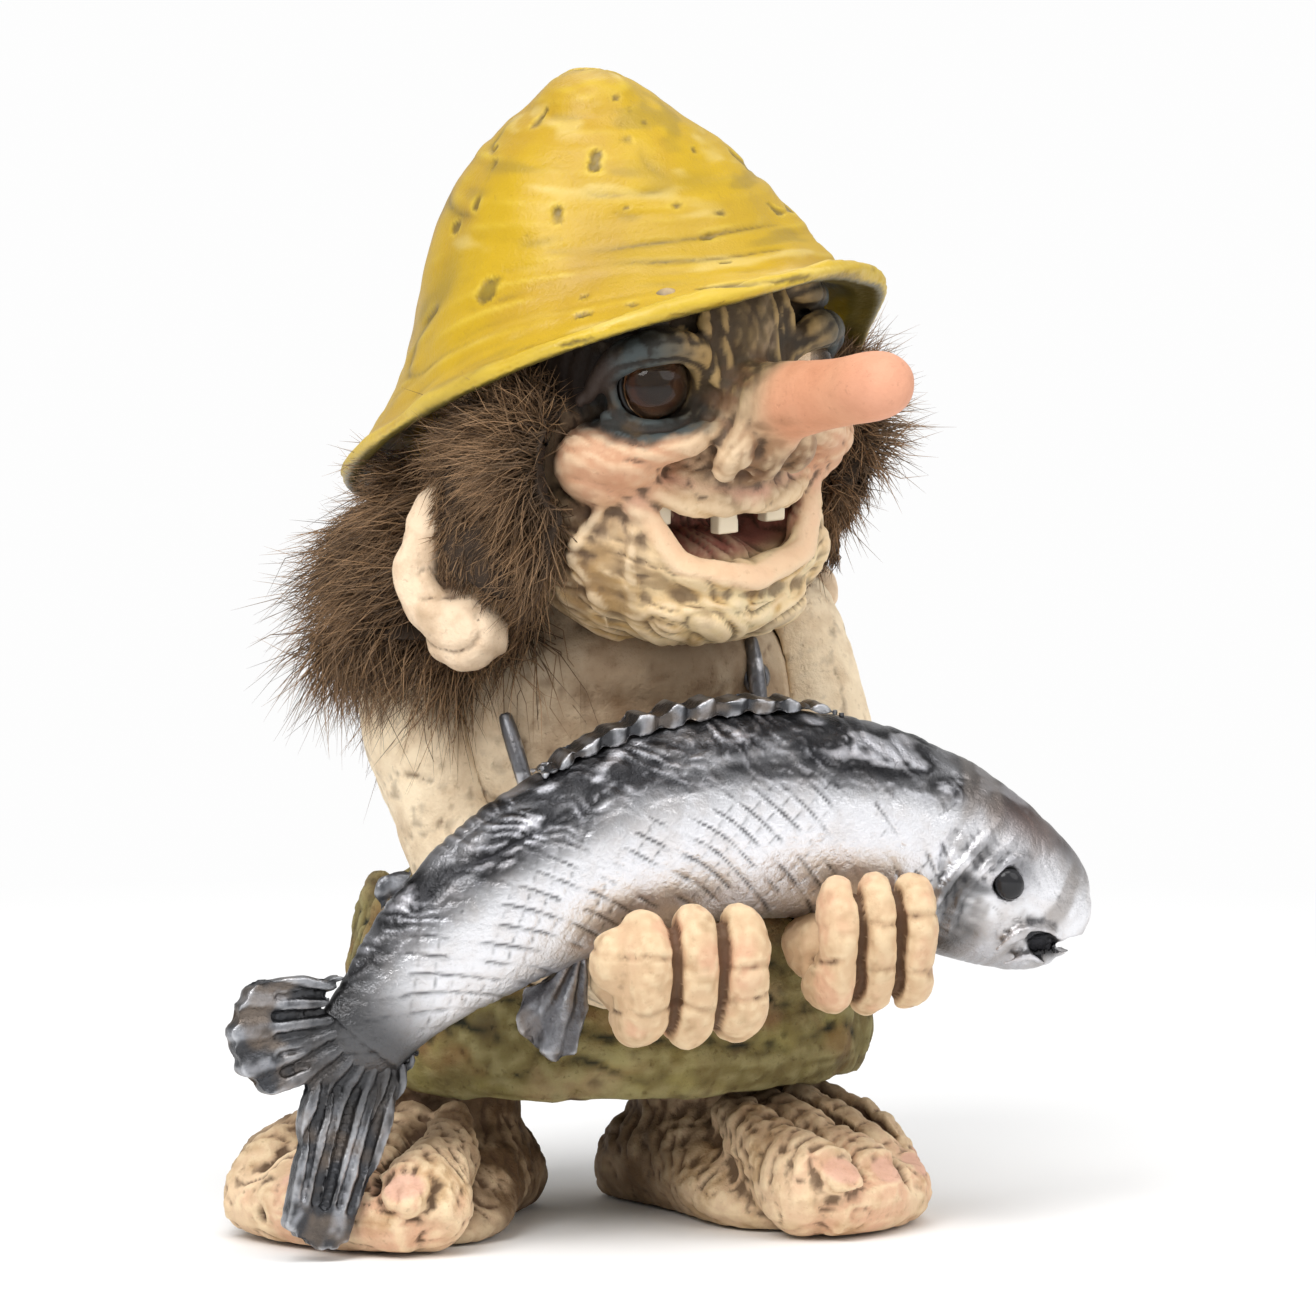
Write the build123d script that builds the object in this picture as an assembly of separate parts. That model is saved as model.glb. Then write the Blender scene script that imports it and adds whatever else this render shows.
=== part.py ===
from build123d import *
import math
import os

# Troll figure holding a salmon. Millimetres, +Z up, soles on z = 0, chest facing -Y,
# the figure's own right side towards -X. The head stands in a frame of its own that is
# turned towards the figure's left, and the fish lies along an arc in front of the belly.

# Shared clearances and the points that round an oval
cut_overrun = 2.0
socket_fit = 0.1
oval_points = 8
pebble_rings = 9
pebble_cap_deg = 83.0

# Torso
torso_foot_z = 44.0
torso_height = 50.0
torso_half_width = 29.0
torso_half_depth = 21.0
torso_y = 0.0
torso_level_shares = [
    (0.0, 0.78, 0.78), (0.16, 0.93, 0.93), (0.40, 1.0, 1.0), (0.62, 0.98, 0.96),
    (0.80, 0.84, 0.86), (0.92, 0.60, 0.66), (1.0, 0.44, 0.52),
]

# Skirt
skirt_hem_z = 19.0
skirt_height = 31.0
skirt_half_width = 38.5
skirt_half_depth = 29.0
skirt_y = -2.0
skirt_level_shares = [
    (0.0, 0.93, 0.93), (0.14, 1.0, 1.0), (0.45, 0.97, 0.97), (0.78, 0.90, 0.88), (1.0, 0.78, 0.74),
]
lobe_count = 11
lobe_half_width = 8.2
lobe_half_thickness = 4.0
lobe_half_height = 11.0
lobe_band_z = 38.5
lobe_sweep_deg = 236.0
lobe_lean_deg = 24.0
lobe_size_shares = [1.0, 0.78]
lobe_drop = 3.5

# Feet, each in its own frame: toes towards -Y, origin under the ankle
foot_reach = 41.0
foot_half_width = 20.0
foot_height = 17.0
heel_reach = 15.0
sole_sink = 3.5
foot_level_shares = [
    (-1.0, 0.30, 0.40), (-0.86, 0.52, 0.74), (-0.45, 0.66, 0.98), (0.10, 0.76, 1.0),
    (0.34, 0.90, 0.82), (0.54, 0.94, 0.62), (0.68, 0.78, 0.46), (0.76, 0.46, 0.30),
]
toe_radius = 6.2
toe_root_share = 0.50
toe_shares = [(-0.66, 1.0, 1.14), (-0.14, 0.97, 1.0), (0.32, 0.87, 0.94), (0.72, 0.72, 0.88)]
toe_profile_shares = [(0.0, 0.6), (0.3, 0.9), (0.6, 1.0), (0.8, 1.0), (0.92, 0.8), (1.0, 0.35)]
toe_crown_share = 0.30
nail_half = (3.4, 3.6, 1.6)
nail_rise_share = 0.86
ground_reach = 180.0
leg_radius = 12.5
leg_top_z = 32.0
leg_inset = 4.0
right_foot_x = -25.5
right_foot_y = -2.0
right_foot_splay_deg = -42.0
left_foot_x = 14.5
left_foot_y = -2.5
left_foot_splay_deg = 25.0

# Arms
arm_radius = 10.2
arm_profile_shares = [
    (0.0, 0.45), (0.05, 0.80), (0.16, 1.0), (0.34, 0.96), (0.52, 0.86), (0.72, 0.74),
    (0.90, 0.62), (1.0, 0.50),
]
right_shoulder = (-27.5, 2.0, 84.0)
right_elbow_bend = (-31.0, -4.0, 40.0)
left_shoulder = (27.5, 2.0, 90.0)
left_elbow_bend = (34.0, -6.0, 42.0)

# Hands, each in its own frame: fingers curl up over -Y, origin at the heel of the palm
right_hand_x = -3.2
left_hand_x = 25.6
hand_y = -39.2
right_hand_z = 38.7
left_hand_z = 42.3
palm_half_width = 11.5
palm_half_depth = 10.0
palm_half_height = 6.6
finger_radius = 3.9
finger_pitch = 7.3
curl_forward = 6.0
curl_rise = 0.9
curl_half_reach = 7.2
curl_half_rise = 6.4
curl_start_deg = -25.0
curl_sweep_deg = 185.0
finger_profile_shares = [
    (0.0, 0.80), (0.2, 1.0), (0.4, 1.02), (0.55, 0.93), (0.75, 1.0), (0.88, 0.96), (0.96, 0.70), (1.0, 0.35),
]
finger_rise_shares = [0.92, 1.0, 0.94]
thumb_radius = 3.9
right_thumb_reach = 14.5
left_thumb_reach = 11.0
thumb_rise = 4.0
thumb_profile_shares = [(0.0, 0.8), (0.35, 1.0), (0.6, 0.95), (0.8, 1.0), (0.93, 0.8), (1.0, 0.4)]

# Fish, in its own frame: arc centre at the origin, back outwards, head towards +X
fish_x = 12.5
fish_y = -36.5
fish_z = -18.3
fish_turn_deg = 2.4
fish_arc_radius = 80.0
fish_tail_deg = -51.5
fish_head_deg = 37.8
fish_half_depth = 15.1
fish_half_thickness = 10.8
fish_level_shares = [
    (0.0, 0.50, 0.36), (0.08, 0.60, 0.50), (0.20, 0.82, 0.74), (0.33, 0.94, 0.90), (0.50, 1.0, 1.0),
    (0.66, 1.0, 1.0), (0.78, 0.97, 0.98), (0.87, 0.87, 0.88), (0.93, 0.73, 0.74), (0.97, 0.56, 0.56),
    (0.99, 0.38, 0.40), (1.0, 0.22, 0.24),
]
fish_eye_radius = 2.3
fish_eye_deg = 26.4
fish_eye_rise = -0.6
fish_eye_stand = 0.7
fish_eye_side_share = 0.86
gill_radius = 11.5
gill_groove_width = 1.0
gill_deg = 26.6
mouth_drop = 2.0
mouth_back_drop = 6.5
mouth_back_deg = 31.4
mouth_front_gap = 1.2
mouth_back_gap = 0.4

# Fish fins
fin_thickness = 3.0
tail_root_deg = 3.2
upper_lobe_length = 15.2
upper_lobe_root_half = 6.2
upper_lobe_end_half = 8.6
upper_lobe_turn_deg = -43.0
lower_lobe_length = 31.3
lower_lobe_root_half = 7.6
lower_lobe_end_half = 5.2
lower_lobe_turn_deg = 25.0
tail_hub_radius = 6.8
ray_count = 5
ray_width = 0.9
ray_depth = 0.8
ray_length_share = 0.82
fin_scallop = 0.9
dorsal_start_deg = -22.0
dorsal_sweep_deg = 30.0
dorsal_height = 2.8
dorsal_thickness = 6.0
dorsal_teeth = 9
dorsal_tooth_depth = 0.8
dorsal_root_depth = 3.0
adipose_deg = -36.0
adipose_length = 8.0
adipose_height = 4.0
adipose_thickness = 2.6
pelvic_deg = -26.5
pelvic_length = 14.0
pelvic_half_width = 5.2
pelvic_thickness = 2.4
pelvic_turn_deg = 38.0
pelvic_root_share = 0.86
adipose_turn_deg = 20.0
adipose_root_share = 0.78

# Head frame: face towards -Y before the turn, heights measured from the ground
head_x = 2.0
head_y = -6.0
head_turn_deg = 22.0
skull_half = (24.0, 25.0, 33.0)
skull_back = 3.0
skull_z = 118.0
jaw_half = (23.5, 19.5, 16.5)
jaw_forward = 8.5
jaw_z = 99.5
chin_half = (16.5, 10.0, 7.0)
chin_forward = 18.5
chin_z = 91.0
cheek_half = (9.4, 7.4, 6.8)
cheek_side = 16.6
cheek_forward = 15.4
cheek_z = 112.0
muzzle_half = (14.0, 9.5, 7.0)
muzzle_forward = 17.5
muzzle_z = 109.5
brow_half = (19.0, 9.0, 6.0)
brow_forward = 15.5
brow_z = 132.0
neck_radius = 13.0
neck_foot_z = 78.0

# Nose
nose_root = (0.0, -12.0, 117.0)
nose_bend = (0.0, -36.0, 121.5)
nose_tip = (0.0, -60.2, 127.0)
nose_radius = 5.0
nose_profile_shares = [
    (0.0, 1.75), (0.16, 1.72), (0.30, 1.42), (0.45, 1.18), (0.62, 1.04), (0.78, 1.0),
    (0.90, 1.0), (0.96, 0.82), (0.99, 0.52), (1.0, 0.25),
]
nose_wing_half = (7.5, 7.0, 6.0)
nose_wing_forward = 25.0
nose_wing_z = 114.0
nostril_radius = 1.5
nostril_side = 3.0
nostril_depth = 4.0

# Mouth
mouth_corner_side = 17.6
mouth_corner_z = 109.3
upper_lip_z = 105.4
lower_lip_z = 98.2
mouth_floor_forward = 12.0
lip_forward = 26.8
lip_corner_forward = 19.5
lower_lip_radius = 3.0
upper_lip_radius = 1.9
lip_profile_shares = [
    (0.0, 0.45), (0.15, 0.85), (0.32, 1.0), (0.5, 1.1), (0.68, 1.0), (0.85, 0.85), (1.0, 0.45),
]
tongue_half = (11.0, 8.5, 3.2)
tongue_forward = 14.0
tongue_z = 98.2

# Teeth
tooth_sides = (-12.4, -2.0, 8.2)
tooth_width = 3.7
tooth_height = 4.2
tooth_depth = 2.6
tooth_root = 2.4
tooth_taper = 0.4
tooth_forward = 23.6
tooth_back_per_side = 0.24

# Eyes
eye_radius = 5.6
eye_side = 13.6
eye_forward = 20.4
eye_z = 123.8
eye_turn_deg = 14.0
iris_split = 1.6
lid_radius = 1.5
lid_ring_radius = 5.9

# Ears
ear_top = (27.0, 6.0, 110.0)
ear_bend = (41.0, 11.0, 88.0)
ear_end = (26.0, -4.0, 86.0)
ear_radius = 3.6
ear_profile_shares = [
    (0.0, 0.45), (0.14, 0.80), (0.30, 0.95), (0.46, 1.0), (0.60, 1.1), (0.76, 1.2), (0.90, 1.1), (1.0, 0.60),
]
ear_across = (0.6, 1.0, 0.3)
ear_lobe_half = (5.5, 7.0, 6.0)
ear_lobe_centre = (30.0, 1.0, 87.0)
concha_half = (2.6, 8.5, 12.0)
concha_centre = (27.5, 3.0, 97.0)

# Hat, in the head frame; the brim plane rises towards the face
hat_wall = 2.2
hat_tip_z = 165.8
hat_brim_z = 118.6
hat_back = 5.5
hat_half_width = 37.5
hat_half_length = 43.5
hat_brim_tilt_deg = 26.0
hat_lean = (-2.6, 1.6)
hat_lean_power = 4
hat_level_shares = [
    (1.0, 0.06, 0.05, 0.0), (0.955, 0.18, 0.15, 0.0), (0.82, 0.40, 0.33, 0.04), (0.65, 0.58, 0.49, 0.12),
    (0.45, 0.70, 0.61, 0.34), (0.26, 0.79, 0.73, 0.60), (0.10, 0.89, 0.87, 0.84), (0.0, 1.0, 1.0, 1.0),
]

# Fur
fur_back_half = (38.5, 25.0, 25.0)
fur_back_depth = 19.0
fur_back_z = 92.0
right_sideburn_half = (10.2, 13.0, 20.0)
right_sideburn_centre = (-25.6, -4.4, 109.4)
left_sideburn_half = (12.5, 12.5, 17.5)
left_sideburn_centre = (30.5, -6.0, 109.0)

# Braces
brace_radius = 1.2
right_brace_top = (-20.5, -16.0, 74.5)
right_brace_bend = (-19.0, -22.6, 64.0)
right_brace_end = (-15.0, -20.6, 52.0)
left_brace_top = (17.0, -15.4, 84.0)
left_brace_bend = (18.5, -20.6, 70.0)
left_brace_end = (15.0, -20.6, 52.0)
brace_profile_shares = [(0.0, 0.8), (0.1, 1.0), (0.5, 1.0), (0.9, 1.0), (1.0, 0.8)]
button_radius = 2.4
button_z = 78.2
button_x = 17.6
chest_depth_share = 0.92


# Shared shapes
def blob(centre, half, turn=(0, 0, 0)):
    """Ellipsoid with the given half sizes about a centre."""
    return Location(centre, turn) * scale(Sphere(1), by=half)


def oval(centre, half_across, half_deep, along=(0, 0, 1), across=(1, 0, 0)):
    """Oval face at a centre, square to the direction along."""
    plane = Plane(origin=centre, x_dir=across, z_dir=along)
    points = []
    for step in range(oval_points):
        angle = 2 * math.pi * step / oval_points
        points.append((half_across * math.cos(angle), half_deep * math.sin(angle)))
    return plane * make_face(Spline(*points, periodic=True))


def pebble(centre, half, turn=(0, 0, 0)):
    """Rounded lump through level ovals, with small flats at its top and bottom."""
    faces = []
    for ring in range(pebble_rings):
        angle = math.radians(pebble_cap_deg * (2 * ring / (pebble_rings - 1) - 1))
        height = half[2] * math.sin(angle)
        faces.append(oval((0, 0, height), half[0] * math.cos(angle), half[1] * math.cos(angle)))
    return Location(centre, turn) * loft(faces)


def bent_place(start, bend, end, part_way):
    """Place and direction on the smooth line from start to end that leans towards bend."""
    start, bend, end = Vector(start), Vector(bend), Vector(end)
    place = start * (1 - part_way) ** 2 + bend * (2 * part_way * (1 - part_way)) + end * part_way ** 2
    along = (bend - start) * (1 - part_way) + (end - bend) * part_way
    return place, along


def limb(start, bend, end, radius, profile_shares, across=(1, 0, 0)):
    """Smooth limb along a bent line; each pair is a share of the way and of the radius."""
    faces = []
    for part_way, share in profile_shares:
        place, along = bent_place(start, bend, end, part_way)
        faces.append(oval(place, radius * share, radius * share, along, across))
    return loft(faces)


def stack(levels):
    """Closed body through ovals at rising heights: x, y, z, half width, half depth."""
    return loft([oval((x, y, z), half_x, half_y) for x, y, z, half_x, half_y in levels])


def cut(body, cutters):
    """What is left of a body in its largest piece, once each cutter is taken from it."""
    for cutter in cutters:
        left = (body - cutter).solids()
        body = Part() + max(left, key=lambda solid: solid.volume)
    return body


def joined(body, lumps):
    """A body with each lump fused to it in turn."""
    for lump in lumps:
        body = body + lump
    return body


def in_head(shape):
    """Carry a shape from the head frame to the figure."""
    return Location((head_x, head_y, 0), (0, 0, head_turn_deg)) * shape


def in_fish(shape):
    """Carry a shape from the fish frame, drawn on X and Z, to the figure."""
    return Location((fish_x, fish_y, fish_z), (0, 0, fish_turn_deg)) * shape


# Torso and skirt
def torso_body():
    levels = []
    for rise, wide, deep in torso_level_shares:
        z = torso_foot_z + torso_height * rise
        levels.append((0, torso_y, z, torso_half_width * wide, torso_half_depth * deep))
    return stack(levels)


def skirt_body():
    levels = []
    for rise, wide, deep in skirt_level_shares:
        z = skirt_hem_z + skirt_height * rise
        levels.append((0, skirt_y, z, skirt_half_width * wide, skirt_half_depth * deep))
    body = stack(levels)
    lobes = []
    for lobe in range(lobe_count):
        angle = 90 - lobe_sweep_deg / 2 + lobe_sweep_deg * lobe / (lobe_count - 1)
        across = math.cos(math.radians(angle)) * (skirt_half_width - lobe_half_thickness)
        deep = math.sin(math.radians(angle)) * (skirt_half_depth - lobe_half_thickness) + skirt_y
        size = lobe_size_shares[lobe % 2]
        half = (lobe_half_thickness, lobe_half_width * size, lobe_half_height * size)
        leaf = blob((0, 0, 0), half, (lobe_lean_deg * (1 - 2 * (lobe % 2)), 0, 0))
        lobes.append(Location((across, deep, lobe_band_z - lobe_drop * (lobe % 2)), (0, 0, angle)) * leaf)
    return joined(body, lobes)


# Feet
def foot(inner_side):
    """Foot with four toes and a short leg; inner_side is 1 or -1, towards the big toe."""
    faces = []
    for reach, wide, high in foot_level_shares:
        forward = reach * (foot_reach if reach > 0 else heel_reach)
        half_high = (foot_height * high + sole_sink) / 2
        centre = (0, -forward, foot_height * high - half_high)
        faces.append(oval(centre, foot_half_width * wide, half_high, (0, -1, 0)))
    body = loft(faces)
    pieces = []
    for side, reach, thick in toe_shares:
        radius = toe_radius * thick
        x = -inner_side * side * foot_half_width
        root = (x * toe_root_share, -foot_reach * toe_root_share, foot_height * toe_root_share)
        crown = (x, -foot_reach * (reach + toe_root_share) / 2, radius * (1 + toe_crown_share))
        tip = (x, -foot_reach * reach, radius * (1 - toe_crown_share))
        pieces.append(limb(root, crown, tip, radius, toe_profile_shares))
    side, reach, thick = toe_shares[0]
    nail_z = toe_radius * thick * (1 + toe_crown_share) * nail_rise_share
    pieces.append(pebble((-inner_side * side * foot_half_width, -foot_reach * reach, nail_z), nail_half))
    leg_top = (inner_side * leg_inset, 0, leg_top_z)
    leg_middle = (0, 0, (foot_height + leg_top_z) / 2)
    leg_foot = (0, 0, foot_height / 2)
    pieces.append(loft([
        oval(leg_foot, leg_radius, leg_radius),
        oval(leg_middle, leg_radius, leg_radius),
        oval(leg_top, leg_radius, leg_radius),
    ]))
    body = joined(body, pieces)
    ground = Box(ground_reach, ground_reach, leg_top_z, align=(Align.CENTER, Align.CENTER, Align.MAX))
    return body - ground


# Arms and hands
def finger(x, rise):
    """Finger curled along an oval arc, from under the palm round to the top."""
    faces = []
    for part_way, share in finger_profile_shares:
        angle = math.radians(curl_start_deg + curl_sweep_deg * part_way)
        y = -curl_forward - curl_half_reach * math.sin(angle)
        z = curl_rise - curl_half_rise * rise * math.cos(angle)
        along = (0, -curl_half_reach * math.cos(angle), curl_half_rise * rise * math.sin(angle))
        faces.append(oval((x, y, z), finger_radius * share, finger_radius * share, along))
    return loft(faces)


def hand(hand_x, hand_z, thumb_side, thumb_reach):
    """Palm under the belly of the fish, three fingers curled up in front, a thumb at one side."""
    palm = pebble((0, 0, 0), (palm_half_width, palm_half_depth, palm_half_height))
    digits = []
    for place, rise in zip((-1, 0, 1), finger_rise_shares):
        digits.append(finger(place * finger_pitch, rise))
    start = (thumb_side * finger_pitch / 2, -palm_half_depth / 2, 0)
    bend = (thumb_side * finger_pitch, -palm_half_depth, 0)
    tip = (thumb_side * thumb_reach, -palm_half_depth, thumb_rise)
    digits.append(limb(start, bend, tip, thumb_radius, thumb_profile_shares, across=(0, 0, 1)))
    return Location((hand_x, hand_y, hand_z)) * joined(palm, digits)


def arm(shoulder, elbow_bend, hand_x, hand_z):
    """Upper arm and forearm in one smooth limb that ends in the heel of the hand."""
    return limb(shoulder, elbow_bend, (hand_x, hand_y, hand_z), arm_radius, arm_profile_shares)


# Fish
def fish_place(angle_deg, out=0):
    """Place in the fish frame at an angle from the top, out from the centre line."""
    angle = math.radians(angle_deg)
    radius = fish_arc_radius + out
    return Vector(radius * math.sin(angle), 0, radius * math.cos(angle))


def fish_along(angle_deg):
    """Direction along the fish towards its head."""
    angle = math.radians(angle_deg)
    return Vector(math.cos(angle), 0, -math.sin(angle))


def fish_trunk():
    faces = []
    for share, deep, thick in fish_level_shares:
        angle = fish_tail_deg + (fish_head_deg - fish_tail_deg) * share
        half = (fish_half_thickness * thick, fish_half_depth * deep)
        faces.append(oval(fish_place(angle), half[0], half[1], fish_along(angle), (0, 1, 0)))
    return loft(faces)


def fish_eye_frame(side):
    """Frame on the flank where an eye sits, its Z pointing out of the flank."""
    place = fish_place(fish_eye_deg, fish_eye_rise)
    place = place + Vector(0, side * fish_half_thickness * fish_eye_side_share, 0)
    return Plane(origin=place, x_dir=(1, 0, 0), z_dir=(0, side, 0))


def fish_eye(extra=0):
    """Round eye buttons for both flanks, grown by extra for the recess."""
    eyes = []
    for side in (-1, 1):
        button = scale(Sphere(fish_eye_radius + extra), by=(1, 1, fish_eye_stand))
        eyes.append(fish_eye_frame(side) * button)
    return eyes


def fish_groove(side):
    """Gill cover groove on one flank, a ring cut across the cheek."""
    place = fish_place(gill_deg) + Vector(0, side * fish_half_thickness, 0)
    ring = Torus(gill_radius, gill_groove_width)
    return Plane(origin=place, x_dir=(1, 0, 0), z_dir=(0, side, 0)) * ring


def fish_mouth():
    """Open slot of the mouth, narrowing backwards from the snout."""
    front = fish_place(fish_head_deg, -mouth_drop)
    back = fish_place(mouth_back_deg, -mouth_back_drop)
    along = (front - back).normalized()
    wide = fish_half_thickness
    return loft([
        oval(back, wide, mouth_back_gap, along, (0, 1, 0)),
        oval(front + along * cut_overrun, wide, mouth_front_gap, along, (0, 1, 0)),
    ])


def fin_end(length, end_half):
    """Scalloped end of a fin lobe, one bump for each space between its rays."""
    spaces = ray_count + 1
    corners = []
    for step in range(spaces + 1):
        share = 2 * step / spaces - 1
        corners.append((length + end_half / 2 * (1 - share ** 2), end_half * share))
    bumps = []
    for start, end in zip(corners[:-1], corners[1:]):
        middle = ((start[0] + end[0]) / 2 + fin_scallop, (start[1] + end[1]) / 2)
        bumps.append(ThreePointArc(start, middle, end))
    return bumps


def fin_blade(length, root_half, end_half, turn_deg):
    """Flat fin lobe along +X with a scalloped end and ray grooves."""
    sides = Polyline((length, end_half), (0, root_half), (0, -root_half), (length, -end_half))
    blade = extrude(make_face([sides, *fin_end(length, end_half)]), fin_thickness / 2, both=True)
    grooves = []
    for ray in range(ray_count):
        share = (ray + 1) / (ray_count + 1) * 2 - 1
        angle = math.degrees(math.atan2(share * (end_half - root_half), length))
        middle = (length / 2, share * (root_half + end_half) / 2)
        bar = Box(length * ray_length_share, ray_width, ray_depth * 2)
        for face in (-1, 1):
            grooves.append(Location((middle[0], middle[1], face * fin_thickness / 2), (0, 0, angle)) * bar)
    return Location((0, 0, 0), (0, 0, turn_deg)) * (blade - grooves)


def tail_fin():
    """Tail fin of two lobes that fan out behind the tail, in the plane of the fish."""
    root = fish_place(fish_tail_deg + tail_root_deg)
    back = fish_along(fish_tail_deg + tail_root_deg) * -1
    frame = Plane(origin=root, x_dir=back, z_dir=(0, -1, 0))
    upper = fin_blade(upper_lobe_length, upper_lobe_root_half, upper_lobe_end_half, upper_lobe_turn_deg)
    lower = fin_blade(lower_lobe_length, lower_lobe_root_half, lower_lobe_end_half, lower_lobe_turn_deg)
    hub = Cylinder(tail_hub_radius, fin_thickness)
    return frame * (upper + lower + hub)


def dorsal_fin():
    """Low ragged ridge along the back, an arc band with a toothed crest."""
    crest = fish_half_depth + dorsal_height
    root = fish_half_depth - dorsal_root_depth
    points = []
    for tooth in range(dorsal_teeth * 2 + 1):
        angle = dorsal_start_deg + dorsal_sweep_deg * tooth / (dorsal_teeth * 2)
        ends = math.sin(math.pi * (tooth + 1) / (dorsal_teeth * 2 + 2))
        out = root + (crest - root) * math.sqrt(ends) - dorsal_tooth_depth * (tooth % 2)
        points.append(fish_place(angle, out))
    start, end = fish_place(dorsal_start_deg, root), fish_place(dorsal_start_deg + dorsal_sweep_deg, root)
    middle = fish_place(dorsal_start_deg + dorsal_sweep_deg / 2, root)
    outline = Polyline(start, *points, end) + ThreePointArc(end, middle, start)
    return extrude(make_face(outline), dorsal_thickness / 2, dir=(0, 1, 0), both=True)


def small_fin(angle_deg, out, length, half_width, thickness, turn_deg):
    """Small oval fin blade set on the fish at an angle from the top."""
    direction = fish_along(angle_deg) * -1
    frame = Plane(origin=fish_place(angle_deg, out), x_dir=direction, z_dir=(0, -1, 0))
    blade = blob((length / 2, 0, 0), (length / 2, half_width, thickness / 2))
    return frame * (Location((0, 0, 0), (0, 0, turn_deg)) * blade)


# Head
def eye_frame(side):
    """Frame at an eye's centre with Z pointing out of the face."""
    turn = math.radians(eye_turn_deg)
    look = (side * math.sin(turn), -math.cos(turn), 0)
    return Plane(origin=(side * eye_side, -eye_forward, eye_z), x_dir=(0, 0, 1), z_dir=look)


def mouth_curve(side_share, height_middle):
    """Height of a lip line at a share of the way from the middle to a corner."""
    return height_middle + (mouth_corner_z - height_middle) * side_share ** 2


def mouth_cut():
    """Hollow of the open mouth between the two lip lines."""
    corner = (-mouth_corner_side, mouth_corner_z)
    other = (mouth_corner_side, mouth_corner_z)
    upper = ThreePointArc(corner, (0, upper_lip_z), other)
    lower = ThreePointArc(other, (0, lower_lip_z), corner)
    front = Plane(origin=(0, -mouth_floor_forward, 0), x_dir=(1, 0, 0), z_dir=(0, -1, 0))
    return extrude(front * make_face([upper, lower]), lip_forward)


def lip(height_middle, radius, offset):
    """Rolled lip from one corner of the mouth to the other."""
    corner = (-mouth_corner_side, -lip_corner_forward, mouth_corner_z + offset)
    other = (mouth_corner_side, -lip_corner_forward, mouth_corner_z + offset)
    bend_z = 2 * (height_middle + offset) - mouth_corner_z - offset
    bend = (0, lip_corner_forward - 2 * lip_forward + radius, bend_z)
    return limb(corner, bend, other, radius, lip_profile_shares, across=(0, 0, 1))


def head_casting():
    """Head with brow, cheeks, nose, lips and chin, hollowed for the eyes and the mouth."""
    body = blob((0, skull_back, skull_z), skull_half)
    lumps = [
        blob((0, -jaw_forward, jaw_z), jaw_half),
        blob((0, -chin_forward, chin_z), chin_half),
        blob((0, -muzzle_forward, muzzle_z), muzzle_half),
        blob((0, -brow_forward, brow_z), brow_half),
        blob((0, -nose_wing_forward, nose_wing_z), nose_wing_half),
        limb(nose_root, nose_bend, nose_tip, nose_radius, nose_profile_shares),
        loft([
            oval((0, 0, neck_foot_z), neck_radius, neck_radius),
            oval((0, 0, jaw_z), neck_radius, neck_radius),
        ]),
    ]
    for side in (-1, 1):
        lumps.append(blob((side * cheek_side, -cheek_forward, cheek_z), cheek_half))
        lumps.append(eye_frame(side) * Torus(lid_ring_radius, lid_radius))
    body = joined(body, lumps) - mouth_cut()
    body = joined(body, [
        lip(lower_lip_z, lower_lip_radius, -lower_lip_radius / 2),
        lip(upper_lip_z, upper_lip_radius, upper_lip_radius / 2),
        blob((0, -tongue_forward, tongue_z), tongue_half),
    ])
    for side in (-1, 1):
        body = body - eye_frame(side) * Sphere(eye_radius + socket_fit)
        nostril_y = -nose_wing_forward - nose_wing_half[1] / 2
        nostril_place = (side * nostril_side, nostril_y, nose_wing_z - nose_wing_half[2])
        body = body - blob(nostril_place, (nostril_radius, nostril_radius, nostril_depth))
    return body


def eye_pieces(side):
    """Clear glass dome and the painted backing behind it, split by a flat face."""
    ball = eye_frame(side) * Sphere(eye_radius)
    reach = 2 * eye_radius + cut_overrun
    back_half = Box(reach, reach, reach, align=(Align.CENTER, Align.CENTER, Align.MAX))
    back_half = eye_frame(side) * (Location((0, 0, iris_split)) * back_half)
    return ball - back_half, ball & back_half


def tooth(side):
    """Slightly tapered peg hanging from the upper gum."""
    z_gum = mouth_curve(abs(side) / mouth_corner_side, upper_lip_z)
    forward = tooth_forward - abs(side) * tooth_back_per_side
    gum = Plane(origin=(side, -forward, z_gum + tooth_root))
    edge = Plane(origin=(side, -forward, z_gum - tooth_height))
    return loft([
        gum * Rectangle(tooth_width - tooth_taper, tooth_depth),
        edge * Rectangle(tooth_width, tooth_depth - tooth_taper),
    ])


def ear(side):
    """Big fleshy ear: a curled rim, a thin inner wall and a heavy lobe."""
    top, bend, end, inner, lobe = [
        (side * place[0], place[1], place[2])
        for place in (ear_top, ear_bend, ear_end, concha_centre, ear_lobe_centre)
    ]
    across = (side * ear_across[0], ear_across[1], ear_across[2])
    rim = limb(top, bend, end, ear_radius, ear_profile_shares, across=across)
    return joined(rim, [pebble(inner, concha_half), pebble(lobe, ear_lobe_half)])


# Hat
def hat_skin(inset, overrun):
    """Closed skin of the hat through tilted ovals, drawn in by inset, its mouth pushed out by overrun."""
    faces = []
    for rise, wide, deep, tilt in hat_level_shares:
        angle = math.radians(hat_brim_tilt_deg * tilt)
        normal = Vector(0, math.sin(angle), math.cos(angle))
        z = hat_brim_z + (hat_tip_z - hat_brim_z) * rise
        lean = rise ** hat_lean_power
        centre = Vector(hat_lean[0] * lean, hat_back + hat_lean[1] * lean, z - inset * rise)
        if rise == 0:
            centre = centre - normal * overrun
        half_width = max(hat_half_width * wide - inset, inset / 2)
        half_length = max(hat_half_length * deep - inset, inset / 2)
        faces.append(oval(centre, half_width, half_length, normal))
    return loft(faces)


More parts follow.
